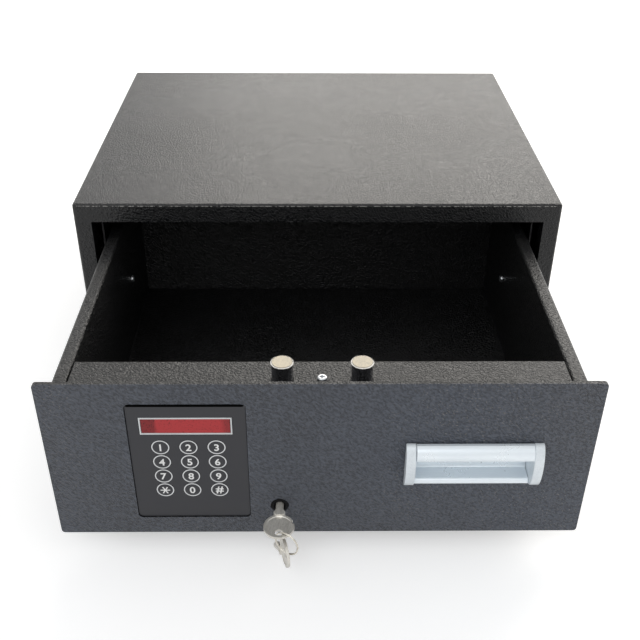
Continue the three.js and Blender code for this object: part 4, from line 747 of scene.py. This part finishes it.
# Override lock and its keys
# A blackened cylinder with a turning plug. Its tube keys are nickel-plated, with a brushed round bow.
lock_finish = surface_material(
    "lock_finish", moulded, {"Colour": (0.004, 0.004, 0.0045, 1), "Roughness": 0.5}, relief=0.00001,
    specular=0.12)
key_nickel = surface_material(
    "key_nickel", drawn_metal,
    {"Colour": (0.86, 0.84, 0.78, 1), "Dull Colour": (0.50, 0.47, 0.42, 1), "Along": 300.0, "Across": 1500.0,
     "Roughness": 0.36}, relief=0.00003, metallic=0.55)
finished_copy("lock_cylinder", "drawer", lock_finish, 0.0003)
finished_copy("lock_plug", "key", lock_finish, 0.0002)
finished_copy("lock_key", "key", key_nickel, 0.0002)
finished_copy("spare_key", "spare", key_nickel, 0.0002)

# Split ring
# Two turns of flattened spring wire, plated, which carry the spare key from the bow of the first.
ring_steel = surface_material(
    "ring_steel", drawn_metal,
    {"Colour": (0.78, 0.75, 0.68, 1), "Dull Colour": (0.55, 0.52, 0.46, 1), "Along": 700.0, "Across": 700.0,
     "Roughness": 0.22}, relief=0.000008, metallic=1.0)
split_radius = 0.0088
turn_rise = 0.00055
wire_height = 0.00052
wire_width = 0.0012
ring_turn = math.radians(58)
ring_lean = math.radians(47)
ring_hole = Vector((lock_middle.x, -0.4036, lock_middle.z))
ring_across = Vector((math.sin(ring_turn), -math.cos(ring_turn), 0))
ring_up = Vector((0, 0, 1))
ring_middle = (ring_hole + ring_across * split_radius * math.cos(ring_lean)
               - ring_up * split_radius * math.sin(ring_lean))
bpy.ops.object.select_all(action="DESELECT")
bpy.ops.mesh.primitive_circle_add(vertices=12, radius=0.5, rotation=(math.pi / 2, 0, 0))
split_ring = bpy.context.object
split_ring.name = "split_ring"
bpy.ops.object.transform_apply(location=True, rotation=True, scale=True)
bpy.ops.object.mode_set(mode="EDIT")
bpy.ops.mesh.select_all(action="SELECT")
bpy.ops.transform.resize(value=(wire_width, 1, wire_height))
bpy.ops.transform.translate(value=(split_radius, 0, -turn_rise))
bpy.ops.object.mode_set(mode="OBJECT")
coil = split_ring.modifiers.new("coil", "SCREW")
coil.steps = 56
coil.render_steps = 56
coil.screw_offset = turn_rise
coil.iterations = 2
bpy.ops.object.modifier_apply(modifier=coil.name)
bpy.ops.object.mode_set(mode="EDIT")
bpy.ops.mesh.select_all(action="SELECT")
bpy.ops.mesh.fill_holes(sides=0)
bpy.ops.mesh.select_all(action="SELECT")
bpy.ops.mesh.normals_make_consistent(inside=False)
bpy.ops.object.mode_set(mode="OBJECT")
facing = Matrix((ring_across, ring_up, ring_across.cross(ring_up))).transposed()
split_ring.data.transform(Matrix.Translation(ring_middle) @ facing.to_4x4())
finish_edges(split_ring, 0, 40)
split_ring.data.materials.append(ring_steel)
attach(split_ring, "ring")
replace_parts(split_ring, "key_ring")

# Studio
# A white floor that keeps the shadow, plain white surroundings, a broad lamp behind and above, whose
# reflection lies along the cabinet's top, and a soft one in front.
floor_size = 12.0
floor_gap = 0.0002
floor_glow = 0.42
world_light = 0.6
world_seen = 1.0
bpy.ops.object.select_all(action="DESELECT")
bpy.ops.mesh.primitive_plane_add(size=floor_size, location=(0, 0, -floor_gap))
floor = bpy.context.object
floor.name = "studio_floor"
floor_paint = bpy.data.materials.new("floor_paint")
floor_paint.use_nodes = True
tree = floor_paint.node_tree
surface = tree.nodes["Principled BSDF"]
surface.inputs["Base Color"].default_value = (0.86, 0.86, 0.86, 1)
surface.inputs["Roughness"].default_value = 0.9
surface.inputs["Emission Color"].default_value = (1, 1, 1, 1)


def seen_by(tree, *kinds):
    rays = add_node(tree, "ShaderNodeLightPath").outputs
    seen = rays[kinds[0]]
    for kind in kinds[1:]:
        seen = add_node(tree, "ShaderNodeMath", {0: seen, 1: rays[kind]}, operation="MAXIMUM").outputs[0]
    return seen


seen = seen_by(tree, "Is Camera Ray", "Is Glossy Ray")
tree.links.new(times(tree, seen, floor_glow), surface.inputs["Emission Strength"])
floor.data.materials.append(floor_paint)

world = bpy.data.worlds.new("studio_world")
bpy.context.scene.world = world
world.use_nodes = True
tree = world.node_tree
seen = seen_by(tree, "Is Camera Ray", "Is Transmission Ray", "Is Glossy Ray")
background = tree.nodes["Background"]
background.inputs["Color"].default_value = (1, 1, 1, 1)
tree.links.new(spread(tree, seen, 0, 1, world_light, world_seen), background.inputs["Strength"])


def soft_lamp(name, place, aim, width, height, power, colour):
    lamp_data = bpy.data.lights.new(name, "AREA")
    lamp_data.shape = "RECTANGLE"
    lamp_data.size = width
    lamp_data.size_y = height
    lamp_data.energy = power
    lamp_data.color = colour
    lamp = bpy.data.objects.new(name, lamp_data)
    bpy.context.scene.collection.objects.link(lamp)
    look = (Vector(aim) - Vector(place)).to_track_quat("-Z", "Y")
    lamp.matrix_world = Matrix.Translation(place) @ look.to_matrix().to_4x4()


soft_lamp("back_lamp", place=(0.75, 1.9, 1.4), aim=(0, 0, 0.1), width=2.8, height=1.7, power=56,
          colour=(1.0, 0.955, 0.885))
soft_lamp("front_lamp", place=(-0.5, -1.8, 1.6), aim=(0, -0.2, 0.05), width=1.6, height=1.2, power=10,
          colour=(0.94, 0.97, 1.0))
